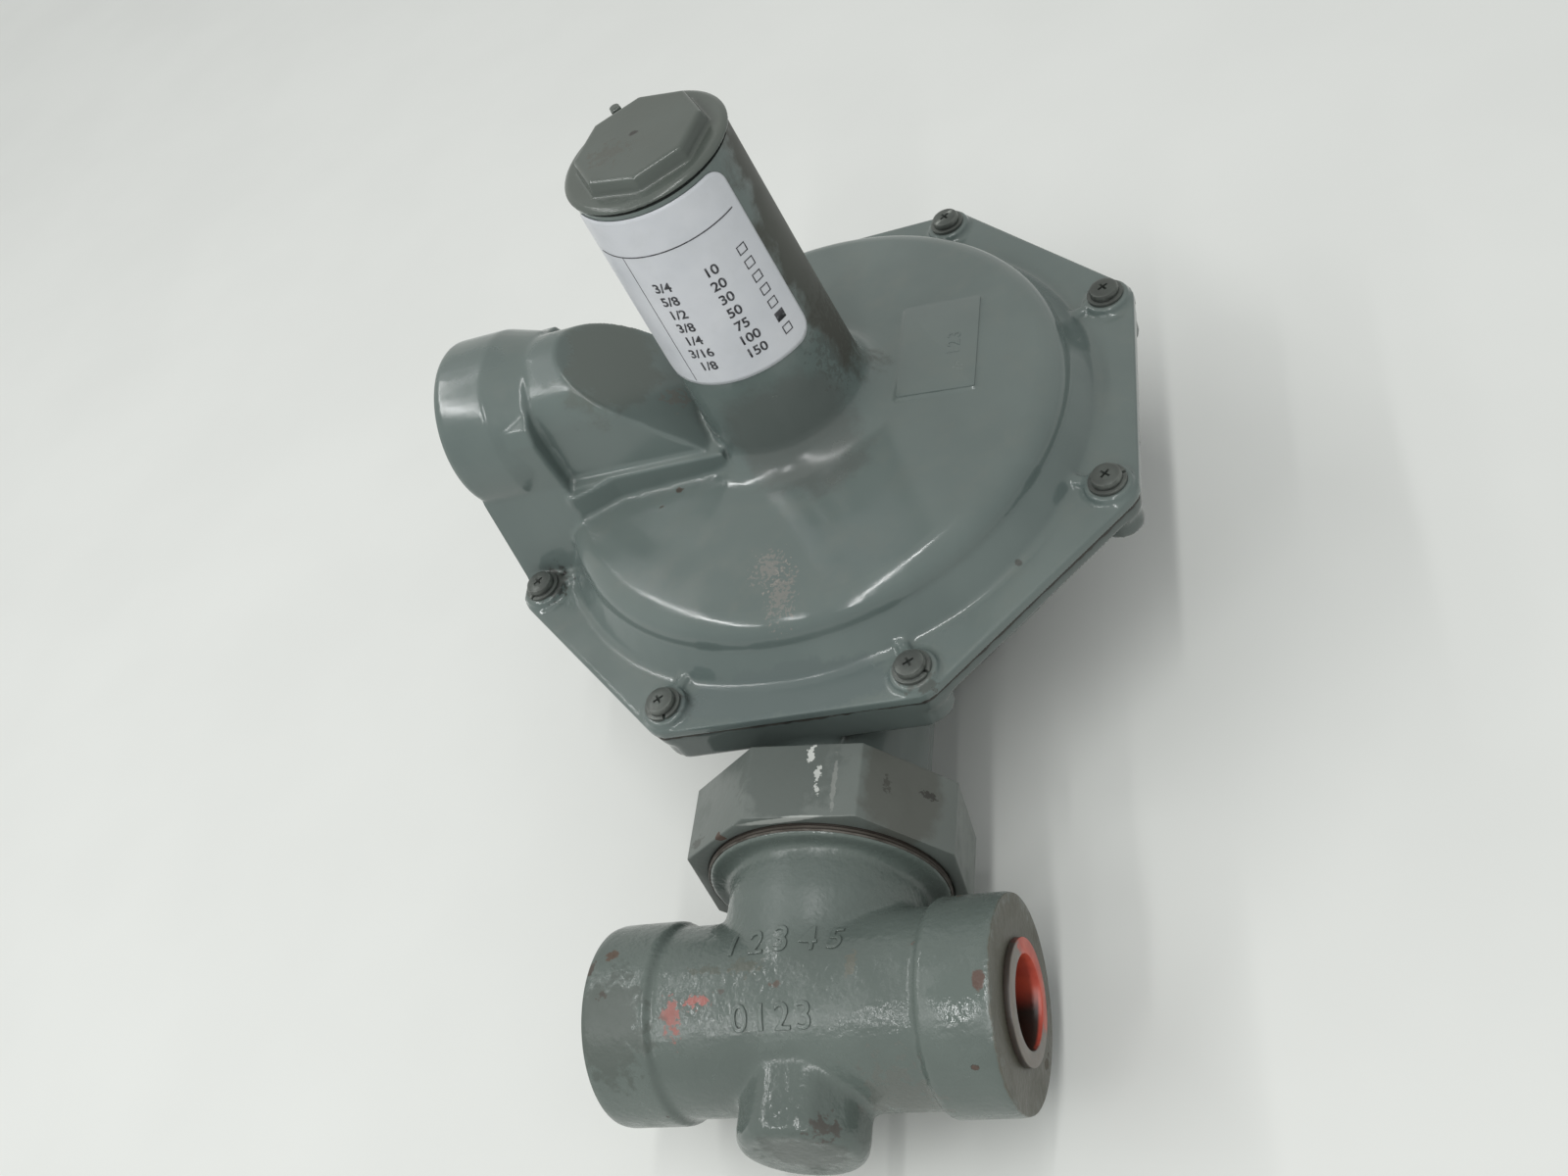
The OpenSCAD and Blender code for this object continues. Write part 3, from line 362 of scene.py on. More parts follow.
# rubbed edges, and hollows darkened with dirt and painted shade, from the mesh's own curvature
def makeEdgeGroup():
    tree, start, end = newGroup("edgesAndHollows", {
        "Vector": None, "Edge From": 0.53, "Edge To": 0.62, "Hollow From": 0.48, "Hollow To": 0.38},
        ["Edge", "Hollow"])
    shape = tree.nodes.new("ShaderNodeNewGeometry").outputs["Pointiness"]
    ragged = ramp(tree, noiseOf(tree, start["Vector"], 260.0, 5.0, 0.6).outputs[0], 0.38, 0.62)
    edge = ramp(tree, shape, start["Edge From"], start["Edge To"])
    tree.links.new(times(tree, edge, ragged), end["Edge"])
    tree.links.new(ramp(tree, shape, start["Hollow From"], start["Hollow To"]), end["Hollow"])
    return tree


# one rubbed or stained place: an egg-shaped spot with a ragged rim
def makeSmudgeGroup():
    tree, start, end = newGroup("smudgeSpot", {
        "Vector": None, "Centre": None, "Reach": (0.005, 0.005, 0.005), "Ragged": 0.5, "Grain": 600.0}, ["Mask"])
    away = vectors(tree, "SUBTRACT", start["Vector"], start["Centre"])
    shared = vectors(tree, "DIVIDE", away.outputs[0], start["Reach"])
    far = vectors(tree, "LENGTH", shared.outputs[0]).outputs["Value"]
    grain = noiseOf(tree, start["Vector"], start["Grain"], 4.0, 0.65)
    rim = times(tree, sums(tree, "SUBTRACT", grain.outputs[0], 0.5), start["Ragged"])
    tree.links.new(ramp(tree, sums(tree, "ADD", far, times(tree, rim, 4.0)), 1.0, 0.7), end["Mask"])
    return tree


groups = {
    "peel": makePeelGroup(), "blotch": makeBlotchGroup(), "specks": makeSpeckGroup(),
    "edges": makeEdgeGroup(), "smudge": makeSmudgeGroup(),
}


def useGroup(tree, name, **inputs):
    made = placeNode(tree, "ShaderNodeGroup", {"node_tree": groups[name]})
    return setInputs(tree, made, {key.replace("_", " "): value for key, value in inputs.items()})


def blotchOf(tree, place, scale):
    made = useGroup(tree, "blotch", Vector=place, Scale=scale)
    return made.outputs["Soft"], made.outputs["Patchy"]


def newMaterial(name, tint):
    material = bpy.data.materials.new(name)
    material.use_nodes = True
    material.diffuse_color = rgb(*tint)
    tree = material.node_tree
    shader = tree.nodes["Principled BSDF"]
    place = tree.nodes.new("ShaderNodeTexCoord").outputs["Object"]
    return material, tree, shader, place


def addBump(tree, shader, height, strength, distance):
    bump = placeNode(tree, "ShaderNodeBump", None, {"Height": height, "Strength": strength, "Distance": distance})
    tree.links.new(bump.outputs[0], shader.inputs["Normal"])


# a mark is its place and its reach in mm, its colour and how fully it covers, and after these, where they
# differ from the usual ones, how ragged it is, its grain and how far it dulls the paint
usualMark = (0.5, 600.0, 0.25)


# grey paint on a casting, with dirt and painted shade in its corners and hollows, rubbed edges, chips and its own
# marks
def paintedCast(name, look):
    material, tree, shader, place = newMaterial(name, look["paint"])
    soft, patchy = blotchOf(tree, place, 28.0)
    base = mixColor(tree, soft, look["shade"], look["paint"])
    worn = useGroup(tree, "edges", Vector=place)
    # dirt and painted shade: near black in hollows from the mesh's curvature and in corners from ambient occlusion
    hollow = times(tree, worn.outputs["Hollow"], look["hollowDirtAndShade"])
    corner = placeNode(tree, "ShaderNodeAmbientOcclusion", {"samples": 6}, {"Distance": look["dirtAndShadeReach"]})
    shut = ramp(tree, corner.outputs["AO"], 0.75, 0.3)
    dirt = times(tree, times(tree, shut, timesPlus(tree, patchy, 0.5, 0.5)), look["cornerDirtAndShade"])
    dirt = sums(tree, "MAXIMUM", dirt, hollow, clamp=True)
    facing = tree.nodes.new("ShaderNodeTexCoord").outputs["Normal"]
    up = placeNode(tree, "ShaderNodeSeparateXYZ", None, {0: facing}).outputs["Z"]
    dust = times(tree, ramp(tree, up, 0.5, 1.0), look["topDust"])
    dust = times(tree, dust, timesPlus(tree, patchy, 0.6, 0.4))
    color = mixColor(tree, dust, base, look["dustColor"])
    color = mixColor(tree, dirt, color, look["dirtAndShadeColor"])
    edge = times(tree, worn.outputs["Edge"], look["edgeRub"])
    color = mixColor(tree, edge, color, look["edgeColor"])
    smooth, rough = look["gloss"]
    roughness = timesPlus(tree, soft, rough - smooth, smooth)
    roughness = timesPlus(tree, patchy, look["dullPatches"], roughness)
    roughness = timesPlus(tree, dirt, 0.35, roughness, clamp=True)
    roughness = timesPlus(tree, dust, 0.25, roughness, clamp=True)
    fine, coarse, share, strength, distance = look["peel"]
    height = useGroup(tree, "peel", Vector=place, Fine=fine, Coarse=coarse, Coarse_Share=share).outputs[0]
    if look["chips"]:
        chips = look["chips"]
        specks = useGroup(tree, "specks", Vector=place, Scale=chips["scale"], Amount=chips["amount"]).outputs[0]
        color = mixColor(tree, specks, color, chips["color"])
        roughness = timesPlus(tree, specks, 0.3, roughness, clamp=True)
        height = timesPlus(tree, specks, -0.6, height)
    for at, reach, tint, cover, *rest in look["marks"]:
        ragged, grain, dulls = (*rest, *usualMark[len(rest):])
        spot = useGroup(tree, "smudge", Vector=place, Centre=[v / 1000 for v in at],
                        Reach=[v / 1000 for v in reach], Ragged=ragged, Grain=grain).outputs[0]
        spot = times(tree, spot, cover)
        color = mixColor(tree, spot, color, tint)
        roughness = timesPlus(tree, spot, dulls, roughness, clamp=True)
    setInputs(tree, shader, {"Base Color": color, "Roughness": roughness, "IOR": 1.5})
    addBump(tree, shader, height, strength, distance)
    return material


# bare or plated metal, with turning lines or brushing, stains and rubbed edges
def bareMetal(name, color, stain, gloss, grime, grimeColor, edgeColor,
              edgeRub=0.5, metallic=1.0, grainScale=1200.0, grainStretch=(1.0, 1.0, 1.0)):
    material, tree, shader, place = newMaterial(name, color)
    stretch = placeNode(tree, "ShaderNodeMapping", None, {"Vector": place, "Scale": grainStretch})
    grain = noiseOf(tree, stretch.outputs[0], grainScale, 3.0, 0.6).outputs[0]
    soft, patchy = blotchOf(tree, place, 90.0)
    edge = times(tree, useGroup(tree, "edges", Vector=place).outputs["Edge"], edgeRub)
    dirt = times(tree, patchy, grime)
    tint = mixColor(tree, soft, color, stain)
    tint = mixColor(tree, dirt, tint, grimeColor)
    rough = timesPlus(tree, grain, gloss[1] - gloss[0], gloss[0])
    setInputs(tree, shader, {
        "Base Color": mixColor(tree, edge, tint, edgeColor),
        "Roughness": timesPlus(tree, dirt, 0.3, rough, clamp=True),
        "Metallic": timesPlus(tree, dirt, -0.7, metallic, clamp=True)})
    addBump(tree, shader, grain, 0.2, 0.00004)
    return material


# rubber, nylon and other plain mouldings, with a fine skin and handling marks
def moulded(name, color, shade, gloss, scuff, scuffColor, blotchScale=60.0):
    material, tree, shader, place = newMaterial(name, color)
    soft, patchy = blotchOf(tree, place, blotchScale)
    worn = times(tree, patchy, scuff)
    tint = mixColor(tree, soft, color, shade)
    rough = timesPlus(tree, soft, gloss[1] - gloss[0], gloss[0])
    setInputs(tree, shader, {
        "Base Color": mixColor(tree, worn, tint, scuffColor),
        "Roughness": timesPlus(tree, worn, 0.2, rough, clamp=True)})
    addBump(tree, shader, noiseOf(tree, place, 1500.0, 3.0).outputs[0], 0.25, 0.00005)
    return material


casePaint = {
    "paint": (0.128, 0.161, 0.151), "shade": (0.108, 0.139, 0.131), "gloss": (0.07, 0.17),
    "dullPatches": 0.05, "hollowDirtAndShade": 0.35, "cornerDirtAndShade": 0.85, "dirtAndShadeReach": 0.004,
    "dirtAndShadeColor": (0.032, 0.030, 0.026), "topDust": 0.25, "dustColor": (0.17, 0.175, 0.15),
    "edgeRub": 0.35, "edgeColor": (0.27, 0.30, 0.28),
    "peel": (520.0, 90.0, 0.6, 0.25, 0.00012),
    "chips": {"scale": 190.0, "amount": 0.012, "color": (0.06, 0.05, 0.04)},
    "marks": [
        ((-1, -56.5, 92.2), (3.5, 4.5, 4), (0.26, 0.225, 0.2), 0.4, 1.8, 900),
        ((3, -66, 91.5), (3, 6, 4), (0.25, 0.215, 0.19), 0.4, 2.0, 900),
        ((-28.7, -3.3, 109.7), (4, 3, 3), (0.15, 0.095, 0.07), 0.3, 1.6),
        # painted shade at the barrel's foot, with brown dust
        ((9, -24, 106), (24, 18, 20), (0.074, 0.07, 0.064), 0.4, 0.15, 160),
        # painted shade on the barrel's right side, with dusty streaks
        ((22.5, 6, 145), (13, 18, 54), (0.044, 0.044, 0.034), 0.88, 0.25, 110, 0.5),
        ((22.5, -4, 118), (6, 10, 12), (0.045, 0.042, 0.034), 0.4, 1.2, 700),
        ((-79.5, -33.5, 76.5), (3.5, 5.5, 4), (0.03, 0.028, 0.024), 0.75, 1.0),
        ((-30, -83.5, 76.5), (5.5, 3.5, 4), (0.03, 0.028, 0.024), 0.75, 1.0),
        ((37.5, -88.5, 76), (4.5, 2, 3), (0.05, 0.045, 0.036), 0.5, 1.2),
        ((60.5, -54.8, 75.5), (1.1, 1.1, 1.5), (0.04, 0.035, 0.03), 0.7),
        ((-2, -84, 76), (40, 9, 6), (0.102, 0.13, 0.125), 0.85, 0.3, 160, 0.05),
        ((-43, 1, 124), (17, 20, 16), (0.108, 0.126, 0.112), 0.85, 0.3, 160, 0.05),
        ((-80, -2, 138), (13, 6.5, 5), (0.112, 0.141, 0.132), 0.9, 0.4, 300, 0.22),
        ((-56, -3, 134.5), (7.5, 12, 6), (0.112, 0.141, 0.132), 0.9, 0.3, 300, 0.22),
    ],
}
ironPaint = dict(casePaint, **{
    "paint": (0.116, 0.143, 0.128), "shade": (0.097, 0.120, 0.108), "gloss": (0.12, 0.26), "topDust": 0.04,
    "peel": (620.0, 110.0, 0.6, 0.9, 0.00048), "dullPatches": 0.18, "hollowDirtAndShade": 0.45, "dirtAndShadeReach": 0.005,
    "chips": {"scale": 170.0, "amount": 0.03, "color": (0.075, 0.05, 0.038)},
    "marks": [
        ((-27.8, -162.7, 58.7), (1.8, 4.2, 4), (0.4, 0.085, 0.065), 0.55, 1.6),
        ((-21.2, -159.2, 59.7), (2.8, 1.8, 4), (0.42, 0.09, 0.07), 0.6, 1.5),
        ((52.15, -154, 36.7), (1, 34, 34), (0.078, 0.071, 0.05), 0.85, 0.2, 300),
        ((0, -134, 60), (24, 12, 20), (0.102, 0.126, 0.114), 0.75, 0.3, 300),
        ((-46, -163, 56), (14, 14, 16), (0.076, 0.092, 0.08), 0.85, 0.5, 300),
        ((44.5, -162, 60), (8, 7, 6), (0.116, 0.143, 0.128), 1.0, 0.2, 300, -0.14),
        ((2, -191, 40), (15, 4, 16), (0.066, 0.08, 0.07), 0.85, 0.3, 300),
        ((-51.3, -149.7, 60.6), (1.2, 2.2, 2), (0.06, 0.042, 0.032), 0.8, 1.0),
        ((-46.5, -157, 61.7), (1.6, 1, 2), (0.06, 0.045, 0.036), 0.7, 1.2),
        ((-0.5, -156.3, 60.2), (1.6, 0.9, 2), (0.075, 0.048, 0.034), 0.8, 0.8),
        ((32.7, -148.7, 59.7), (0.9, 0.8, 2), (0.14, 0.055, 0.04), 0.7, 1.0),
        ((10, -186, 48.2), (3.6, 2.6, 3), (0.06, 0.045, 0.038), 0.7, 1.4),
        ((49.7, -159.3, 61.8), (1.6, 2.6, 3), (0.085, 0.045, 0.032), 0.95, 0.4),
        ((-46.4, -145.9, 60.6), (2, 1.6, 3), (0.09, 0.055, 0.035), 0.9, 0.8),
        ((18.2, -152.5, 60.3), (1.6, 3, 3), (0.15, 0.125, 0.085), 0.35, 1.0),
        ((-19, -151.5, 60.3), (5, 1.2, 3), (0.074, 0.076, 0.054), 0.5, 1.2, 500),
        ((-9.2, -151.5, 60.3), (4.5, 2.2, 3), (0.084, 0.084, 0.06), 0.5, 1.2, 500),
        ((-14.5, -157.2, 60.1), (1, 0.8, 2), (0.06, 0.045, 0.036), 0.7, 1.0),
        ((26, -176, 40), (10, 8, 12), (0.12, 0.115, 0.1), 0.4, 1.0, 420),
    ],
})
# the lower case: the case's paint made darker as painted shade, with more dirt and painted shade in its corners and
# hollows
shadedLowerPaint = dict(casePaint, **{
    "paint": (0.098, 0.120, 0.112), "shade": (0.078, 0.096, 0.089), "topDust": 0.1, "cornerDirtAndShade": 0.95,
    "hollowDirtAndShade": 0.5, "marks": [],
})
nutPaint = dict(ironPaint, **{
    "paint": (0.131, 0.150, 0.137), "shade": (0.101, 0.116, 0.106), "edgeRub": 0.7, "edgeColor": (0.28, 0.30, 0.27),
    "peel": (600.0, 160.0, 0.5, 0.6, 0.0002), "gloss": (0.30, 0.42), "dullPatches": 0.15,
    "marks": [
        # painted shade on the nut's right side, with brown dust
        ((27, -106, 58.5), (14, 18, 14), (0.07, 0.068, 0.055), 0.6, 0.22, 110),
        # painted shade: the nut's top facet darker than its lit left side
        ((0, -104, 71), (16, 20, 6), (0.086, 0.101, 0.091), 0.85, 0.3, 200),
        ((31.7, -105.3, 52.5), (3, 1.1, 3), (0.03, 0.028, 0.024), 0.8, 1.0, 900),
        ((24.4, -106.8, 62.6), (1.2, 2.2, 1.2), (0.04, 0.038, 0.032), 0.6, 1.2, 900),
        ((-28, -115.8, 59.5), (3, 1.4, 3), (0.045, 0.042, 0.034), 0.5, 1.2, 700),
        # worn edges with painted highlights along the top facet's front edge and along one side edge
        ((0, -118.5, 70.6), (13.2, 0.5, 1.4), (0.42, 0.44, 0.41), 0.75, 0.12),
        ((13.5, -110, 70), (0.7, 8, 1.5), (0.26, 0.27, 0.25), 0.5, 0.6),
        ((7.2, -100.5, 70.9), (0.9, 3.5, 3), (0.62, 0.64, 0.6), 0.8, 1.6),
        ((9.2, -107.5, 70.6), (0.8, 3, 3), (0.6, 0.62, 0.58), 0.7, 1.8),
    ],
})
capPaint = dict(casePaint, **{
    "paint": (0.088, 0.104, 0.092), "shade": (0.073, 0.086, 0.075), "topDust": 0.22,
    "dustColor": (0.09, 0.094, 0.078), "gloss": (0.13, 0.22), "chips": None,
    "peel": (700.0, 160.0, 0.6, 0.45, 0.00012),
    "marks": [
        ((-0.9, 1.3, 188.8), (1.3, 0.9, 2), (0.03, 0.028, 0.025), 0.9, 0.4),
        ((-7, -4, 188.8), (5, 4, 2), (0.075, 0.073, 0.06), 0.5, 1.4),
    ],
})
darkSteel = {
    "gloss": (0.26, 0.45), "grime": 0.5, "grimeColor": (0.028, 0.029, 0.025), "edgeColor": (0.34, 0.36, 0.33),
    "metallic": 0.35,
}
materials = {
    "case": paintedCast("casePaint", casePaint), "lower": paintedCast("shadedLowerPaint", shadedLowerPaint),
    "iron": paintedCast("ironPaint", ironPaint), "nut": paintedCast("nutPaint", nutPaint),
    "cap": paintedCast("capPaint", capPaint),
    "screw": bareMetal(
        "darkScrew", color=(0.098, 0.110, 0.100), stain=(0.058, 0.064, 0.058), edgeRub=0.9, **darkSteel),
    "washer": bareMetal("darkWasher", color=(0.105, 0.117, 0.107), stain=(0.064, 0.070, 0.064), **darkSteel),
    "zinc": bareMetal(
        "zincPlate", color=(0.62, 0.62, 0.60), stain=(0.50, 0.50, 0.47), gloss=(0.28, 0.42), grime=0.2,
        grimeColor=(0.25, 0.25, 0.23), edgeColor=(0.8, 0.8, 0.78)),
    "springWire": bareMetal(
        "drawnWire", color=(0.46, 0.47, 0.48), stain=(0.36, 0.37, 0.38), gloss=(0.22, 0.36), grime=0.15,
        grimeColor=(0.16, 0.15, 0.13), edgeColor=(0.7, 0.7, 0.7)),
    "brass": bareMetal(
        "turnedBrass", color=(0.70, 0.50, 0.22), stain=(0.58, 0.40, 0.17), gloss=(0.2, 0.36), grime=0.2,
        grimeColor=(0.25, 0.17, 0.08), edgeColor=(0.85, 0.66, 0.36)),
    "alloy": bareMetal(
        "turnedAlloy", color=(0.64, 0.65, 0.66), stain=(0.54, 0.55, 0.56), gloss=(0.25, 0.4), grime=0.15,
        grimeColor=(0.3, 0.3, 0.29), edgeColor=(0.82, 0.82, 0.82), grainStretch=(1.0, 1.0, 14.0),
        grainScale=260.0),
    "yellowZinc": bareMetal(
        "yellowZinc", color=(0.60, 0.55, 0.38), stain=(0.52, 0.50, 0.42), gloss=(0.28, 0.42), grime=0.2,
        grimeColor=(0.25, 0.22, 0.15), edgeColor=(0.75, 0.72, 0.62)),
    "stainless": bareMetal(
        "turnedStainless", color=(0.60, 0.61, 0.62), stain=(0.52, 0.53, 0.54), gloss=(0.2, 0.32), grime=0.1,
        grimeColor=(0.3, 0.3, 0.29), edgeColor=(0.78, 0.78, 0.78), grainStretch=(1.0, 12.0, 1.0),
        grainScale=260.0),
    "screenWire": bareMetal(
        "wovenWire", color=(0.50, 0.51, 0.52), stain=(0.38, 0.38, 0.38), gloss=(0.3, 0.45), grime=0.4,
        grimeColor=(0.14, 0.13, 0.11), edgeColor=(0.7, 0.7, 0.7)),
    "thread": bareMetal(
        "cutThread", color=(0.36, 0.36, 0.35), stain=(0.24, 0.20, 0.16), gloss=(0.3, 0.5), grime=0.5,
        grimeColor=(0.09, 0.06, 0.045), edgeColor=(0.6, 0.6, 0.58), metallic=0.9),
    "dirtyThread": bareMetal(
        "dirtyThread", color=(0.075, 0.066, 0.056), stain=(0.05, 0.042, 0.034), gloss=(0.45, 0.6),
        grime=0.6, grimeColor=(0.03, 0.022, 0.016), edgeColor=(0.2, 0.19, 0.17), metallic=0.5),
    "blackRubber": moulded(
        "blackRubber", color=(0.022, 0.022, 0.021), shade=(0.03, 0.03, 0.028), gloss=(0.5, 0.65), scuff=0.5,
        scuffColor=(0.055, 0.052, 0.045)),
    "oldGasket": moulded(
        "oldGasket", color=(0.020, 0.020, 0.018), shade=(0.036, 0.034, 0.028), gloss=(0.5, 0.7), scuff=0.5,
        scuffColor=(0.06, 0.055, 0.042), blotchScale=220.0),
    "gasketSheet": moulded(
        "gasketSheet", color=(0.05, 0.055, 0.06), shade=(0.04, 0.042, 0.045), gloss=(0.6, 0.75), scuff=0.4,
        scuffColor=(0.09, 0.088, 0.08)),
    "nylon": moulded(
        "whiteNylon", color=(0.60, 0.59, 0.53), shade=(0.54, 0.53, 0.46), gloss=(0.35, 0.5), scuff=0.25,
        scuffColor=(0.4, 0.38, 0.32)),
}
print("materials made")


# each casting with the nodes that it stands for, its grid and softness, and what is machined in it afterwards
castings = {
    "upperCasting": {
        "nodes": ["upper_case", "spring_barrel"], "grid": 0.0007, "softness": 3, "most": 195000,
        "body": "case", "material": "case", "slot": "case_paint",
        "machined": [(0, places["ventFaceX"]), (2, places["barrelTopZ"])],
        "bores": [{"low": 0.1366, "high": 0.19, "radius": 0.0178, "reach": 0.0008}]},
    "lowerCasting": {
        "nodes": ["lower_case"], "grid": 0.0009, "softness": 4, "most": 180000,
        "body": "case", "material": "lower", "slot": "case_paint"},
    "bodyCasting": {
        "nodes": ["valve_body"], "grid": 0.0007, "softness": 4, "most": 180000,
        "body": "valve_body", "material": "iron", "slot": "iron_paint",
        "machined": [(0, places["portX"]), (0, -places["portX"])],
        "blends": [{"low": (-0.030, -0.180, 0.0), "high": (0.030, -0.126, 0.08), "passes": 14}]},
    "capCasting": {
        "nodes": ["seal_cap"], "grid": 0.00035, "softness": 3, "most": 130000,
        "body": "seal_cap", "material": "cap", "slot": "cap_paint"},
}
for name, look in castings.items():
    piece = softCasting(name, look)
    finishPiece(piece, look["body"], materials[look["material"]], look["nodes"])
    print(name, len(piece.data.polygons), "faces")

nutEdges = {"width": 0.0009, "segments": 3, "angle": 30}
nut = brokenEdges("unionNut", ["union_nut"], **nutEdges)
finishPiece(nut, "union_nut", materials["nut"], ["union_nut"])
washerEdges = {"width": 0.00018}
washers = brokenEdges("lockWashers", ["lock_washers"], **washerEdges)
finishPiece(washers, "case", materials["washer"], ["lock_washers"])
print("nut and washers done")


# pan-head screws with a cross recess; the dome is pairs of a share of the head's radius and of the crown left
screws = {
    "headR": 0.0041, "headH": 0.0021, "crown": 0.0007, "shankR": 0.0024, "shankL": 0.0065,
    "recess": 0.0023, "recessWide": 0.00078, "recessDeep": 0.0013,
    "underCut": 0.0002, "rim": 0.0003, "dome": [(0.93, 0.5), (0.75, 0.12), (0.45, 0.0)], "taper": 0.7,
    "turns": [12, 63, 38, 80, 21, 55, 5, 71], "apart": 45,
}


def screwMesh(look):
    bm = bmesh.new()
    made = bmesh.ops.create_circle(bm, segments=40, radius=look["shankR"], cap_ends=True)
    moveBy(bm, made["verts"], (0, 0, -look["shankL"]))
    face = bm.faces[:][0]
    wide, high, crown = look["headR"], look["headH"], look["crown"]
    steps = [(look["shankR"], 0.0), (wide - look["underCut"], 0.0), (wide, look["rim"]),
             (wide, high - crown - look["underCut"])]
    steps += [(wide * share, high - crown * drop) for share, drop in look["dome"]]
    radius = look["shankR"]
    for nextR, nextZ in steps:
        made = bmesh.ops.extrude_face_region(bm, geom=[face])
        verts = [g for g in made["geom"] if isinstance(g, bmesh.types.BMVert)]
        bm.faces.remove(face)
        face = [g for g in made["geom"] if isinstance(g, bmesh.types.BMFace)][0]
        sizeBy(bm, verts, (nextR / radius, nextR / radius, 1))
        moveBy(bm, verts, (0, 0, nextZ - verts[0].co.z))
        radius = nextR
    bmesh.ops.holes_fill(bm, edges=[e for e in bm.edges if e.is_boundary])
    faceOut(bm)
    return bm


def crossCutter(look):
    bm = bmesh.new()
    for turn in (0, 90):
        made = bmesh.ops.create_cube(bm, size=1)
        top = [v for v in made["verts"] if v.co.z > 0]
        low = [v for v in made["verts"] if v.co.z < 0]
        sizeBy(bm, top, (2 * look["recess"], look["recessWide"], 1))
        sizeBy(bm, low, (look["taper"] * look["recess"], look["taper"] * look["recessWide"], 1))
        sizeBy(bm, made["verts"], (1, 1, 2 * look["recessDeep"]))
        turnBy(bm, made["verts"], turn)
    moveBy(bm, bm.verts, (0, 0, look["headH"]))
    return bm


def makeScrews(look):
    head = pieceFrom("screwHead", screwMesh(look), smooth=False)
    cutter = pieceFrom("screwCutter", crossCutter(look), smooth=False)
    addModifier(head, "BOOLEAN", operation="DIFFERENCE", solver="EXACT", use_self=True, object=cutter)
    applyModifiers(head)
    bm = bmesh.new()
    for index, turn in enumerate(look["turns"]):
        before = len(bm.verts)
        bm.from_mesh(head.data)
        bm.verts.ensure_lookup_table()
        fresh = bm.verts[before:]
        turnBy(bm, fresh, turn)
        moveBy(bm, fresh, (places["screwCircleR"], 0, places["washerTopZ"]))
        turnBy(bm, fresh, places["firstScrew"] + look["apart"] * index)
    shadeByAngle(bm, 35)
    for used in (head, cutter):
        bpy.data.objects.remove(used)
    return pieceFrom("caseScrews", bm)


finishPiece(makeScrews(screws), "case", materials["screw"], ["case_screws"])
print("screws done")


# printed label on the barrel: two columns of plain numbers and a column of boxes
labelLook = {
    "low": 0.127, "high": 0.1813, "middle": -87.5, "wrap": 125.0, "corner": 0.005, "lift": 0.00012, "thick": 0.0002,
    "rowTop": 0.1600, "rowStep": 0.0044, "rule": 0.1702,
    "left": ["3/4", "5/8", "1/2", "3/8", "1/4", "3/16", "1/8"], "leftAngle": -100.0,
    "right": ["10", "20", "30", "50", "75", "100", "150"], "rightAngle": -65.0,
    "boxAngle": -40.5, "filled": 5, "textSize": 0.0039, "stroke": 0.00007, "slice": 0.0008,
    "cuts": 6, "boxSide": 0.0026, "boxLine": 0.00028, "boxFill": (1.05, 1.1), "cells": (72, 48),
    "ruleSpan": 0.86, "ruleThick": 0.00032, "ruleShift": 2, "edgeGap": 0.0006, "inkLift": 0.00004,
    "edgeAngle": -117.0, "edgeLine": 0.00016, "edgeSteps": 28, "edgeStep": 0.0015, "inkThick": 0.00003,
    "film": (0.565, 0.585, 0.615), "filmFaded": (0.635, 0.65, 0.675), "filmStain": (0.42, 0.43, 0.42),
    "stained": 0.12, "ink": (0.03, 0.03, 0.035), "inkWorn": (0.16, 0.17, 0.18),
}


def barrelR(z):
    share = (z - places["domeTopZ"]) / (places["barrelTopZ"] - places["domeTopZ"])
    return places["barrelFootR"] + (places["barrelTopR"] - places["barrelFootR"]) * share


# bends a flat mesh, x along the girth in degrees and y up, round the barrel
def wrapRound(bm, lift):
    for v in bm.verts:
        angle, z = radians(v.co.x), v.co.y
        radius = barrelR(z) + lift + v.co.z
        v.co = Vector((radius * cos(angle), radius * sin(angle), z))


def labelSheet(look):
    bm = bmesh.new()
    bmesh.ops.create_grid(bm, x_segments=look["cells"][0], y_segments=look["cells"][1], size=0.5)
    middleR = barrelR((look["low"] + look["high"]) / 2)
    halfW = radians(look["wrap"]) * middleR / 2
    halfH = (look["high"] - look["low"]) / 2
    sizeBy(bm, bm.verts, (2 * halfW, 2 * halfH, 1))
    for v in bm.verts:
        u = abs(v.co.x) - (halfW - look["corner"])
        w = abs(v.co.y) - (halfH - look["corner"])
        if u > 0 and w > 0:
            pull = max(u, w) / hypot(u, w)
            v.co.x = (halfW - look["corner"] + u * pull) * (1 if v.co.x > 0 else -1)
            v.co.y = (halfH - look["corner"] + w * pull) * (1 if v.co.y > 0 else -1)
    for v in bm.verts:
        v.co.x = look["middle"] + v.co.x / halfW * look["wrap"] / 2
        v.co.y += (look["low"] + look["high"]) / 2
    wrapRound(bm, look["lift"])
    faceOut(bm)
    if bm.faces[:][0].normal.dot(bm.faces[:][0].calc_center_median() * Vector((1, 1, 0))) < 0:
        bmesh.ops.reverse_faces(bm, faces=bm.faces)
    piece = pieceFrom("numberLabel", bm)
    addModifier(piece, "SOLIDIFY", thickness=look["thick"], offset=1.0)
    applyModifiers(piece)
    return piece


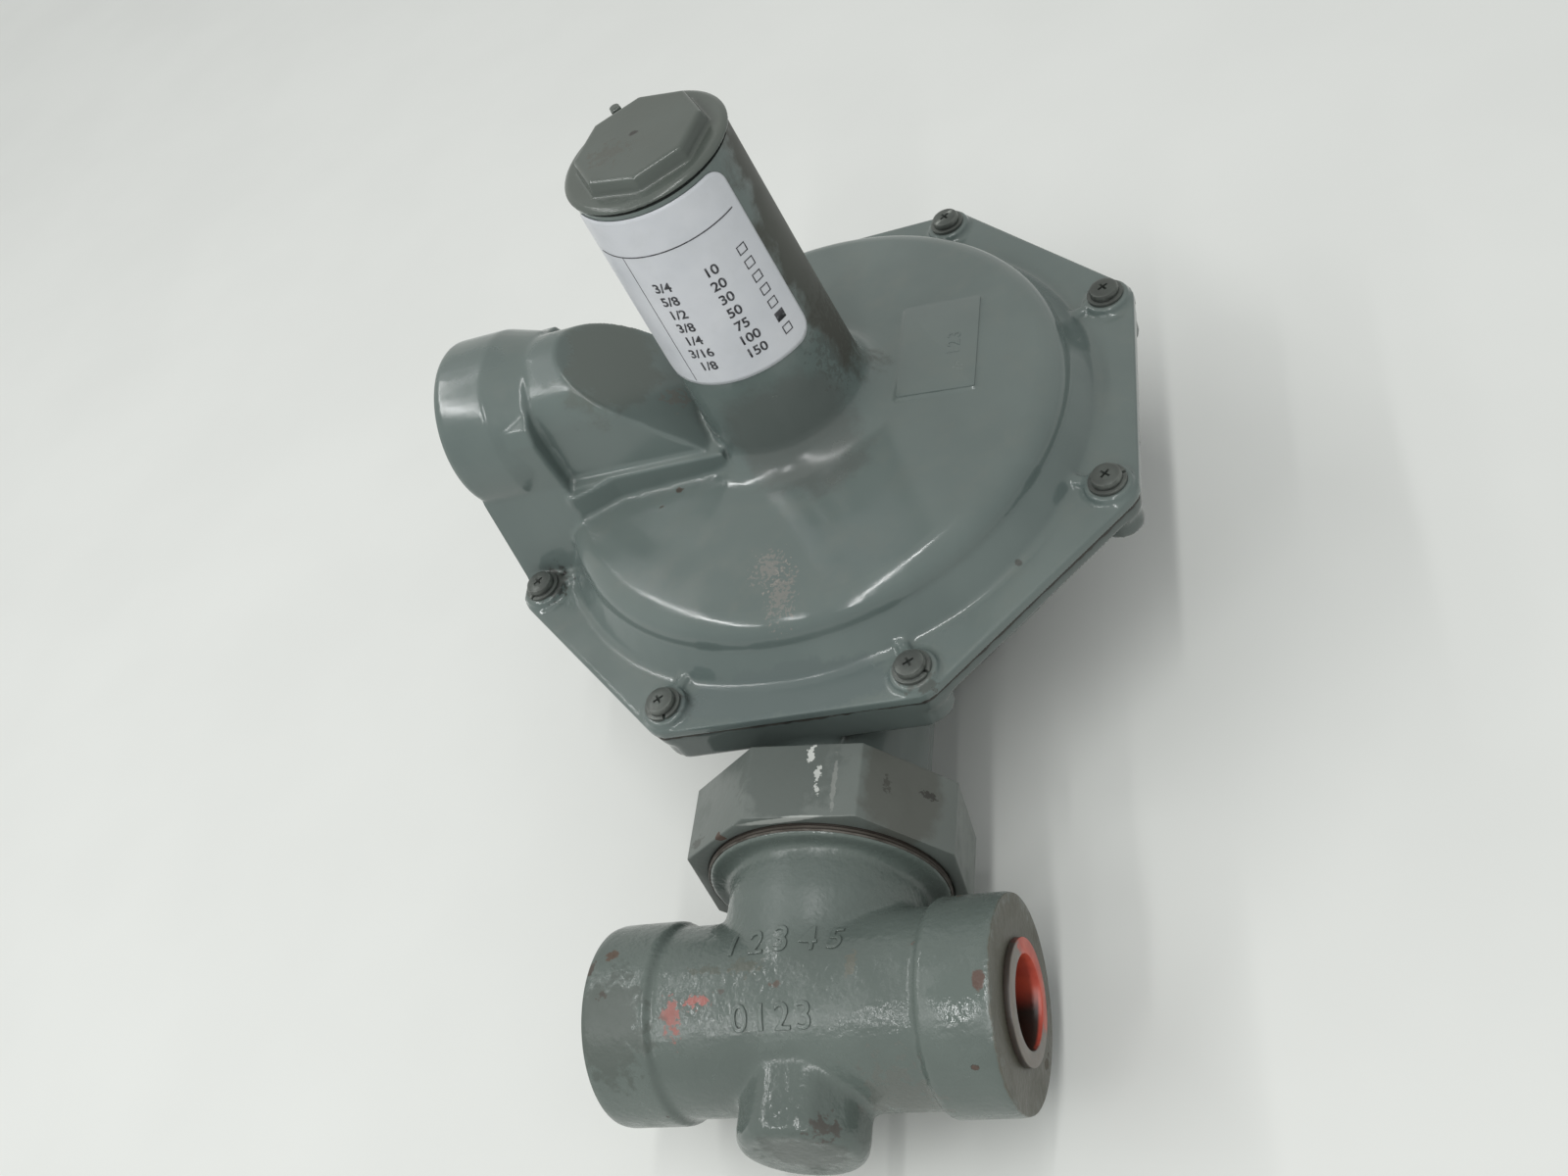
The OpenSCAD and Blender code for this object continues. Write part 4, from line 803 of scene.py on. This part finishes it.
def flatText(words, size, stroke, spacing=1.0):
    curve = bpy.data.curves.new("words", "FONT")
    for key, value in {"body": words, "size": size, "offset": stroke, "space_character": spacing,
                       "align_x": "CENTER", "align_y": "CENTER"}.items():
        setattr(curve, key, value)
    holder = addPiece("words", curve)
    mesh = bpy.data.meshes.new_from_object(holder.evaluated_get(bpy.context.evaluated_depsgraph_get()))
    bpy.data.objects.remove(holder)
    bm = bmesh.new()
    bm.from_mesh(mesh)
    return bm


# adds one flat mark to a mesh and frees it
def pourInto(bm, mark):
    mesh = bpy.data.meshes.new("mark")
    mark.to_mesh(mesh)
    mark.free()
    bm.from_mesh(mesh)


def printOnLabel(look):
    bm = bmesh.new()

    def settle(mark, angle, z):
        perDegree = barrelR(z) * pi / 180
        for v in mark.verts:
            v.co.x = angle + v.co.x / perDegree
            v.co.y += z
        pourInto(bm, mark)

    def bar(angle, z, width, height):
        mark = bmesh.new()
        bmesh.ops.create_grid(mark, x_segments=max(2, int(width / look["slice"])), y_segments=1, size=0.5)
        sizeBy(mark, mark.verts, (width, height, 1))
        settle(mark, angle, z)

    for row in range(len(look["left"])):
        z = look["rowTop"] - row * look["rowStep"]
        for words, angle in ((look["left"][row], look["leftAngle"]), (look["right"][row], look["rightAngle"])):
            mark = flatText(words, look["textSize"], look["stroke"])
            for step in range(-look["cuts"], look["cuts"] + 1):
                cutAt(mark, (step * look["slice"], 0, 0), (1, 0, 0))
            settle(mark, angle, z)
        side, line = look["boxSide"], look["boxLine"]
        perDegree = barrelR(z) * pi / 180
        if row == look["filled"]:
            bar(look["boxAngle"], z, side * look["boxFill"][0], side * look["boxFill"][1])
        else:
            for offset in (-1, 1):
                bar(look["boxAngle"], z + offset * (side - line) / 2, side, line)
                bar(look["boxAngle"] + offset * (side - line) / 2 / perDegree, z, line, side - 2 * line)
    ruleWide = radians(look["wrap"] * look["ruleSpan"]) * barrelR(look["rule"])
    bar(look["middle"] + look["ruleShift"], look["rule"], ruleWide, look["ruleThick"])
    for step in range(look["edgeSteps"]):
        z = look["rule"] - look["edgeGap"] - step * look["edgeStep"]
        bar(look["edgeAngle"], z, look["edgeLine"], look["edgeStep"])
    wrapRound(bm, look["lift"] + look["thick"] + look["inkLift"])
    faceOut(bm)
    for face in bm.faces:
        middle = face.calc_center_median()
        if face.normal.dot(Vector((middle.x, middle.y, 0))) < 0:
            face.normal_flip()
    piece = pieceFrom("labelPrint", bm)
    addModifier(piece, "SOLIDIFY", thickness=look["inkThick"], offset=1.0)
    applyModifiers(piece)
    return piece


def labelMaterial(look):
    material, tree, shader, place = newMaterial("labelFilm", (0.72, 0.75, 0.80))
    soft, patchy = blotchOf(tree, place, 45.0)
    color = mixColor(tree, soft, look["film"], look["filmFaded"])
    stain = times(tree, patchy, look["stained"])
    color = mixColor(tree, stain, color, look["filmStain"])
    setInputs(tree, shader, {
        "Base Color": color, "Roughness": timesPlus(tree, soft, 0.1, 0.3)})
    addBump(tree, shader, noiseOf(tree, place, 120.0, 2.0).outputs[0], 0.2, 0.0001)
    return material


def inkMaterial(look):
    material, tree, shader, place = newMaterial("labelInk", look["ink"])
    fade = noiseOf(tree, place, 900.0, 3.0).outputs[0]
    color = mixColor(tree, ramp(tree, fade, 0.5, 0.75), look["ink"], look["inkWorn"])
    setInputs(tree, shader, {"Base Color": color, "Roughness": timesPlus(tree, fade, 0.15, 0.4)})
    return material


finishPiece(labelSheet(labelLook), "case", labelMaterial(labelLook), ["label"])
finishPiece(printOnLabel(labelLook), "case", inkMaterial(labelLook))
print("label done")


# cut threads in the ports and the barrel, each a helix of ridges that stands in from its bore
threads = {
    "inletThread": {
        "at": (-0.0519, places["flowY"], places["unionZ"]), "length": 0.0155, "body": "valve_body",
        "radius": 0.01214, "depth": 0.0008, "pitch": 0.001814},
    "outletThread": {
        "at": (0.0364, places["flowY"], places["unionZ"]), "length": 0.0150, "body": "valve_body",
        "radius": 0.01214, "depth": 0.0006, "pitch": 0.001814},
    "ventThread": {
        "at": (-0.0909, 0.0, places["ventZ"]), "length": 0.0152, "body": "case",
        "radius": 0.01544, "depth": 0.0009, "pitch": 0.002209},
}
threadForm = {"halfWide": 0.44, "sink": 0.0002, "steps": 40}  # a ridge's half width is a share of the pitch


def threadHelix(name, look):
    bm = bmesh.new()
    half, root = look["pitch"] * threadForm["halfWide"], look["radius"] + threadForm["sink"]
    corners = [bm.verts.new(co) for co in ((0, root, -half), (0, look["radius"] - look["depth"], 0), (0, root, half))]
    face = bm.faces.new(corners)
    turns = look["length"] / look["pitch"] - 1
    steps = int(turns * threadForm["steps"])
    bmesh.ops.spin(bm, geom=[face] + face.edges[:] + face.verts[:], cent=(0, 0, 0), axis=(0, 0, 1),
                   dvec=(0, 0, look["pitch"] * turns / steps), angle=2 * pi * turns, steps=steps)
    bmesh.ops.holes_fill(bm, edges=[e for e in bm.edges if e.is_boundary])
    faceOut(bm)
    moveBy(bm, bm.verts, (0, 0, half))
    turnBy(bm, bm.verts, 90, "Y")
    moveBy(bm, bm.verts, look["at"])
    return pieceFrom(name, bm, smooth=False)


for name, look in threads.items():
    finishPiece(threadHelix(name, look), look["body"], materials["thread"])
print("threads done")


# the last turns of the collar thread, standing just clear of the nut
collarThread = {"from": -0.1204, "to": -0.1182, "core": 0.03142, "crest": 0.03175, "crests": (-0.1201, -0.1192),
                "sunk": 0.0304, "half": 0.00035}


def spunRing(name, profile, segments=144):
    bm = bmesh.new()
    verts = [bm.verts.new((radius, y, places["unionZ"])) for radius, y in profile]
    edges = [bm.edges.new((verts[i], verts[(i + 1) % len(verts)])) for i in range(len(verts))]
    bmesh.ops.spin(bm, geom=verts + edges, cent=(0, 0, places["unionZ"]), axis=(0, 1, 0), angle=2 * pi,
                   steps=segments, use_merge=True)
    bmesh.ops.remove_doubles(bm, verts=bm.verts, dist=weldWithin)
    faceOut(bm)
    shadeByAngle(bm)
    return pieceFrom(name, bm)


def collarProfile(look):
    points = [(look["sunk"], look["from"]), (look["core"], look["from"])]
    for y in look["crests"]:
        points += [(look["core"], y - look["half"]), (look["crest"], y), (look["core"], y + look["half"])]
    points += [(look["core"], look["to"]), (look["sunk"], look["to"])]
    pairs = zip(points[:1] + points, points)
    return points[:1] + [there for here, there in pairs if hypot(there[0] - here[0], there[1] - here[1]) > 0.00001]


finishPiece(spunRing("collarThread", collarProfile(collarThread)), "valve_body", materials["dirtyThread"])

# the diaphragm's ragged edge squeezed out between the flanges
squeezedEdge = {"corner": 0.0073, "low": 0.07105, "high": 0.07222, "inner": 0.0022,
                "outMost": 0.00012, "outLeast": 0.00085, "pitch": 0.0007, "bendSteps": 10,
                "grain": 420, "waves": 60, "lowRough": 0.00016, "highRough": 0.00012}


def outlinePoints(look):
    steps, bends = look["bendSteps"], []
    for index in range(8):
        middle = radians(places["firstScrew"] + 45 * index)
        centre = Vector((cos(middle), sin(middle))) * places["screwCircleR"]
        for step in range(steps + 1):
            turn = middle + radians(-22.5 + 45 * step / steps)
            outward = Vector((cos(turn), sin(turn)))
            bends.append((centre + outward * look["corner"], outward))
    points = []
    for (here, normal), (there, nextNormal) in zip(bends, bends[1:] + bends[:1]):
        count = max(1, int((there - here).length / look["pitch"]))
        for step in range(count):
            share = step / count
            points.append((here.lerp(there, share), normal.lerp(nextNormal, share).normalized()))
    return points


def makeSqueezedEdge(look):
    bm = bmesh.new()
    loops = []
    for spot, normal in outlinePoints(look):
        rough = [noise.noise(Vector((spot.x, spot.y, layer * 0.3)) * look["grain"]) for layer in (1, 2, 3)]
        broad = noise.noise(Vector((spot.x, spot.y, 0.9)) * look["waves"])
        share = min(1, max(0, 0.5 + 0.5 * rough[0] + 0.5 * broad))
        outer = spot - normal * (look["outMost"] + (look["outLeast"] - look["outMost"]) * share)
        inner = spot - normal * look["inner"]
        low = look["low"] + look["lowRough"] * rough[1]
        high = look["high"] + look["highRough"] * rough[2]
        ring = ((inner, low), (outer, low), (outer, high), (inner, high))
        loops.append([bm.verts.new((p.x, p.y, z)) for p, z in ring])
    for here, there in zip(loops, loops[1:] + loops[:1]):
        for side in range(4):
            bm.faces.new((here[side], there[side], there[(side + 1) % 4], here[(side + 1) % 4]))
    faceOut(bm)
    shadeByAngle(bm)
    return pieceFrom("squeezedEdge", bm)


finishPiece(makeSqueezedEdge(squeezedEdge), "case", materials["oldGasket"])

# the raised plate on the dome, for a stamp
domePlate = {"size": (0.0215, 0.0355), "at": (0.0419, 0.0109), "proud": 0.00048, "deep": 0.0007,
             "corner": 0.0005, "brim": 0.00012}


def makeDomePlate(look):
    slope, turn = radians(places["domeSlope"]), atan2(look["at"][1], look["at"][0])
    bm = bmesh.new()
    bmesh.ops.create_cube(bm, size=1)
    sizeBy(bm, bm.verts, (look["size"][0], look["size"][1], look["deep"] + look["proud"]))
    upright = [e for e in bm.edges if abs(e.verts[0].co.z - e.verts[1].co.z) > 0.0001]
    bmesh.ops.bevel(bm, geom=upright, offset=look["corner"], segments=4, profile=0.5, affect="EDGES", material=-1)
    brim = [e for e in bm.edges if min(v.co.z for v in e.verts) > 0]
    bmesh.ops.bevel(bm, geom=brim, offset=look["brim"], segments=2, profile=0.5, affect="EDGES", material=-1)
    for v in bm.verts:
        x, y = v.co.x + look["at"][0], v.co.y + look["at"][1]
        out = x * cos(turn) + y * sin(turn) - places["domeFlatR"]
        level = v.co.z - (look["deep"] + look["proud"]) / 2 + look["proud"]
        v.co = Vector((x, y, places["domeTopZ"] - out * tan(slope) + level))
    shadeByAngle(bm)
    return pieceFrom("domePlate", bm)


finishPiece(makeDomePlate(domePlate), "case", materials["case"])
print("thread ring and dome plate done")

# raised plain figures, as cast in the body and on the dome's plate
raisedFigures = {
    "bodyFigures": {
        "on": "bodyCasting", "body": "valve_body", "material": "iron", "slot": "iron_paint",
        "stroke": 0.00010, "proud": 0.00042, "deep": 0.0006, "cuts": 28, "pitch": 0.0007,
        "grid": 0.00013, "softness": 4, "most": 40000, "rows": [
            {"words": "12345", "size": 0.0090, "spacing": 1.5, "at": (-0.0005, -0.1450, 0.060),
             "lean": 14, "turn": 0},
            {"words": "0123", "size": 0.0088, "spacing": 1.26, "at": (-0.0015, -0.1637, 0.058),
             "lean": -23, "turn": 0}]},
    "plateFigures": {
        "on": "domePlate", "body": "case", "material": "case", "slot": "case_paint",
        "stroke": 0.00004, "proud": 0.00016, "deep": 0.0004, "cuts": 28, "pitch": 0.0007,
        "grid": 0.00009, "softness": 3, "most": 20000, "rows": [
            {"words": "123", "size": 0.0052, "spacing": 1.3, "at": (0.0462, 0.0109, 0.094),
             "lean": 0, "turn": 90}]},
}


# lays one row of figures on a surface, a little below it, facing out
def layRow(row, look, surface):
    mark = flatText(row["words"], row["size"], look["stroke"], row["spacing"])
    for step in range(-look["cuts"], look["cuts"] + 1):
        for way in ((1, 0, 0), (0, 1, 0)):
            cutAt(mark, Vector(way) * step * look["pitch"], way)
    frame = Matrix.Rotation(radians(-row["lean"]), 4, "X") @ Matrix.Rotation(radians(row["turn"]), 4, "Z")
    down = -(frame.to_3x3() @ Vector((0, 0, 1)))
    for v in mark.verts:
        start = Vector(row["at"]) + frame @ v.co - down * 0.01
        v.co = (surface.ray_cast(start, down)[0] or start) + down * look["deep"]
    for face in mark.faces:
        if face.normal.dot(down) > 0:
            face.normal_flip()
    return mark


def layFigures(name, look):
    source = bmesh.new()
    source.from_mesh(bpy.data.objects[look["on"]].data)
    surface = BVHTree.FromBMesh(source)
    source.free()
    bm = bmesh.new()
    for row in look["rows"]:
        pourInto(bm, layRow(row, look, surface))
    bmesh.ops.remove_doubles(bm, verts=bm.verts, dist=weldWithin)
    bm.normal_update()
    piece = pieceFrom(name, bm)
    addModifier(piece, "SOLIDIFY", thickness=look["deep"] + look["proud"], offset=1.0)
    addModifier(piece, "REMESH", mode="VOXEL", voxel_size=look["grid"])
    addModifier(piece, "SMOOTH", iterations=look["softness"])
    applyModifiers(piece)
    thinOut(piece, min(1.0, look["most"] / (2 * len(piece.data.polygons))))
    return piece


for name, look in raisedFigures.items():
    piece = finishPiece(layFigures(name, look), look["body"], materials[look["material"]])
    print(name, len(piece.data.polygons), "faces")


# thread protector: soft red plastic, grey where the spray reached its rim, with painted shade near black deeper in
# its bore and dark on its lip's outer side; each pair is where a change starts and where it is whole
protectorLook = {
    "edges": {"width": 0.0003}, "red": (0.56, 0.085, 0.045), "deepRed": (0.44, 0.055, 0.032),
    "boreShade": (0.020, 0.010, 0.006), "spray": (0.165, 0.165, 0.145), "sprayCover": 0.95,
    "lipShade": (0.022, 0.014, 0.010), "lipShadeCover": 0.85,
    "sprayAlong": (0.0512, 0.0518), "sprayOut": (0.0109, 0.0113), "sprayEnd": (0.0055, 0.0025),
    "holeOut": (0.0116, 0.0112), "litSide": (0.002, 0.008), "litAlong": (0.0524, 0.0532),
    "litEnd": (-0.006, 0.0), "lipShadeOut": (0.0145, 0.0147), "lipShadeAlong": (0.0537, 0.0534),
}


def protectorMaterial(look):
    material, tree, shader, place = newMaterial("protectorPlastic", (0.70, 0.09, 0.04))
    split = placeNode(tree, "ShaderNodeSeparateXYZ", None, {0: place})
    along = split.outputs["X"]
    sideways = sums(tree, "SUBTRACT", split.outputs["Y"], places["flowY"])
    upward = sums(tree, "SUBTRACT", split.outputs["Z"], places["unionZ"])
    out = sums(tree, "SQRT", timesPlus(tree, sideways, sideways, times(tree, upward, upward)))
    soft, patchy = blotchOf(tree, place, 140.0)
    bare = timesPlus(tree, sideways, 0.9, times(tree, upward, -0.45))
    bare = timesPlus(tree, sums(tree, "SUBTRACT", patchy, 0.3), 0.003, bare)
    spray = times(tree, ramp(tree, along, *look["sprayAlong"]), ramp(tree, out, *look["sprayOut"]))
    spray = times(tree, spray, ramp(tree, bare, *look["sprayEnd"]))
    # painted shade: the bore is near black deeper in, where its wall is not lit
    within = ramp(tree, out, *look["holeOut"])
    lit = sums(tree, "MAXIMUM", ramp(tree, sideways, *look["litSide"]), ramp(tree, along, *look["litAlong"]))
    shown = times(tree, lit, ramp(tree, bare, *look["litEnd"]))
    deep = times(tree, within, sums(tree, "SUBTRACT", 1.0, shown))
    # painted shade on the lip's outer side
    lipShade = times(tree, ramp(tree, out, *look["lipShadeOut"]), ramp(tree, along, *look["lipShadeAlong"]))
    red = mixColor(tree, soft, look["red"], look["deepRed"])
    red = mixColor(tree, deep, red, look["boreShade"])
    color = mixColor(tree, times(tree, spray, look["sprayCover"]), red, look["spray"])
    color = mixColor(tree, times(tree, lipShade, look["lipShadeCover"]), color, look["lipShade"])
    setInputs(tree, shader, {
        "Base Color": color, "Roughness": timesPlus(tree, soft, 0.1, 0.32),
        "Subsurface Weight": 0.1, "Subsurface Radius": (0.002, 0.0006, 0.0003)})
    addBump(tree, shader, noiseOf(tree, place, 700.0, 3.0).outputs[0], 0.3, 0.0001)
    return material


protector = brokenEdges("threadProtector", ["thread_protector"], **protectorLook["edges"])
finishPiece(protector, "thread_protector", protectorMaterial(protectorLook),
            ["thread_protector"])
print("figures and protector done")

# each spring is cut into pieces where one joint's reach ends and the next begins, and the table names what each piece
# bears on at each end
springs = {
    "mainSpringFoot": {
        "node": "main_spring", "low": None, "high": 0.080,
        "from": ("diaphragm_plate", 0.0675), "to": ("relief_stem", 0.080)},
    "mainSpringMiddle": {
        "node": "main_spring", "low": 0.080, "high": 0.105,
        "from": ("relief_stem", 0.080), "to": ("case", 0.105)},
    "mainSpringTop": {
        "node": "main_spring", "low": 0.105, "high": None,
        "from": ("case", 0.105), "to": ("spring_seat", 0.153)},
    "reliefSpring": {
        "node": "relief_spring", "low": None, "high": None,
        "from": ("diaphragm_plate", 0.0695), "to": ("relief_stem", 0.0905)},
}


def trimSpring(bm, look):
    for place, side in ((look["low"], -1), (look["high"], 1)):
        if place is not None:
            bmesh.ops.holes_fill(bm, edges=cutAt(bm, (0, 0, place), (0, 0, side), clear=True))
    faceOut(bm)
    shadeByAngle(bm, 50)


def springPiece(name, look):
    piece = mergedCopy(name, [look["node"]])
    editMesh(piece, trimSpring, look)
    piece.data.materials.clear()
    piece.data.materials.append(materials["springWire"])
    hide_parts(look["node"])
    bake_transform(piece)


for name, look in springs.items():
    springPiece(name, look)

# the diaphragm, one sheet carried with the case
sheet = mergedCopy("diaphragmSheet", ["diaphragm"])
finishPiece(sheet, "case", materials["blackRubber"], ["diaphragm"])
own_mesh(sheet)
print("springs and diaphragm done")

kept = {
    "blackRubber": ["relief_pad", "cap_gasket", "vent_valve", "seat_disc"], "gasketSheet": ["union_gasket"],
    "zinc": ["diaphragm_plate", "head_nut", "relief_stem", "relief_nut", "lever_pin", "pin_clips", "screen_ring"],
    "brass": ["diaphragm_head", "disc_holder", "orifice"], "alloy": ["adjusting_screw", "spring_seat", "stem_guide"],
    "yellowZinc": ["lever"], "stainless": ["valve_stem"], "washer": ["snap_ring"], "screenWire": ["vent_screen"],
    "nylon": ["vent_guide"],
}
for finish, nodeNames in kept.items():
    for slot in [slot for nodeName in nodeNames for slot in nodes[nodeName].material_slots]:
        slot.link = "OBJECT"
        slot.material = materials[finish]
print("kept nodes finished")


# a plain pale floor, level light and the camera
studio = {
    "floor": (0.755, 0.77, 0.735), "floorShade": 0.97, "floorSize": 3.0, "floorDrop": 0.00002,
    "glowFrom": (0.9, 2.6), "farGlow": 0.42, "world": 0.51, "worldColor": (0.97, 0.985, 1.0), "shown": 0.9,
    "tubes": {
        "tubeOverhead": {"at": (0.19, -0.65, 1.3), "size": (0.05, 1.7), "power": 8.2, "turn": 3.0},
        "tubeLeft": {"at": (-0.92, -0.2, 1.3), "size": (0.05, 2.0), "power": 7.2, "turn": 3.0},
        "tubeMiddle": {"at": (-0.42, -0.9, 1.3), "size": (0.05, 0.5), "power": 1.6, "turn": 3.0},
    },
    "aim": (0.0, -0.06, 0.06),
    "target": (-0.0102871, -0.0413307, 0.06579), "azimuth": 32.58869, "elevation": 44.55725, "roll": -34.10271,
    "distance": 0.4339516, "lens": 35.79611,
}


def makeFloor(look):
    bm = bmesh.new()
    bmesh.ops.create_grid(bm, x_segments=8, y_segments=8, size=look["floorSize"])
    moveBy(bm, bm.verts, (0, 0, -look["floorDrop"]))
    floor = pieceFrom("paleFloor", bm)
    material, tree, shader, place = newMaterial("paleFloor", look["floor"])
    soft = blotchOf(tree, place, 9.0)[0]
    color = mixColor(tree, soft, look["floor"], tuple(c * look["floorShade"] for c in look["floor"]))
    under = tree.nodes.new("ShaderNodeNewGeometry").outputs["Backfacing"]
    away = vectors(tree, "LENGTH", place).outputs["Value"]
    setInputs(tree, shader, {
        "Base Color": color, "Roughness": 0.6, "Specular IOR Level": 0.2,
        "Alpha": sums(tree, "SUBTRACT", 1.0, under), "Emission Color": rgb(*look["floor"]),
        "Emission Strength": ramp(tree, away, *look["glowFrom"], 0.0, look["farGlow"])})
    floor.data.materials.append(material)


def axesAt(right, up, back, spot):
    return Matrix((*((right[i], up[i], back[i], spot[i]) for i in range(3)), (0, 0, 0, 1)))


def addTube(name, look, aim):
    lamp = bpy.data.lights.new(name, "AREA")
    lamp.shape = "RECTANGLE"
    lamp.size, lamp.size_y = look["size"]
    lamp.energy = look["power"]
    holder = addPiece(name, lamp)
    back = (Vector(look["at"]) - Vector(aim)).normalized()
    along = Vector((sin(radians(-look["turn"])), cos(radians(look["turn"])), 0))
    across = along.cross(back).normalized()
    along = back.cross(across)
    holder.matrix_world = axesAt(across, along, back, look["at"])


# rays that show the room see it as pale as the floor, the others take its softer light
def makeWorld(look):
    world = bpy.data.worlds.new("paleRoom")
    world.use_nodes = True
    tree = world.node_tree
    back = tree.nodes["Background"]
    back.inputs["Color"].default_value = rgb(*look["worldColor"])
    back.inputs["Strength"].default_value = look["world"]
    seen = placeNode(tree, "ShaderNodeBackground", None, {"Color": rgb(*look["floor"]), "Strength": look["shown"]})
    path = tree.nodes.new("ShaderNodeLightPath")
    shows = path.outputs["Is Camera Ray"]
    for ray in ("Is Glossy Ray", "Is Transmission Ray"):
        shows = sums(tree, "MAXIMUM", shows, path.outputs[ray])
    blend = placeNode(tree, "ShaderNodeMixShader", None, {0: shows, 1: back.outputs[0], 2: seen.outputs[0]})
    tree.links.new(blend.outputs[0], tree.nodes["World Output"].inputs["Surface"])
    bpy.context.scene.world = world


def placeCamera(look):
    turn, lift, roll = (radians(look[key]) for key in ("azimuth", "elevation", "roll"))
    back = Vector((sin(turn) * cos(lift), -cos(turn) * cos(lift), sin(lift)))
    across = Vector((0, 0, 1)).cross(back).normalized()
    upright = back.cross(across)
    right = across * cos(roll) + upright * sin(roll)
    up = upright * cos(roll) - across * sin(roll)
    camera = bpy.data.cameras.new("camera")
    camera.sensor_width = 36.0
    camera.lens = look["lens"]
    camera.clip_start = 0.01
    holder = addPiece("camera", camera)
    stand = Vector(look["target"]) + back * look["distance"]
    holder.matrix_world = axesAt(right, up, back, stand)
    bpy.context.scene.camera = holder


makeFloor(studio)
for name, tube in studio["tubes"].items():
    addTube(name, tube, studio["aim"])
makeWorld(studio)
placeCamera(studio)
bpy.context.scene.view_settings.view_transform = "Standard"
print("studio set up")
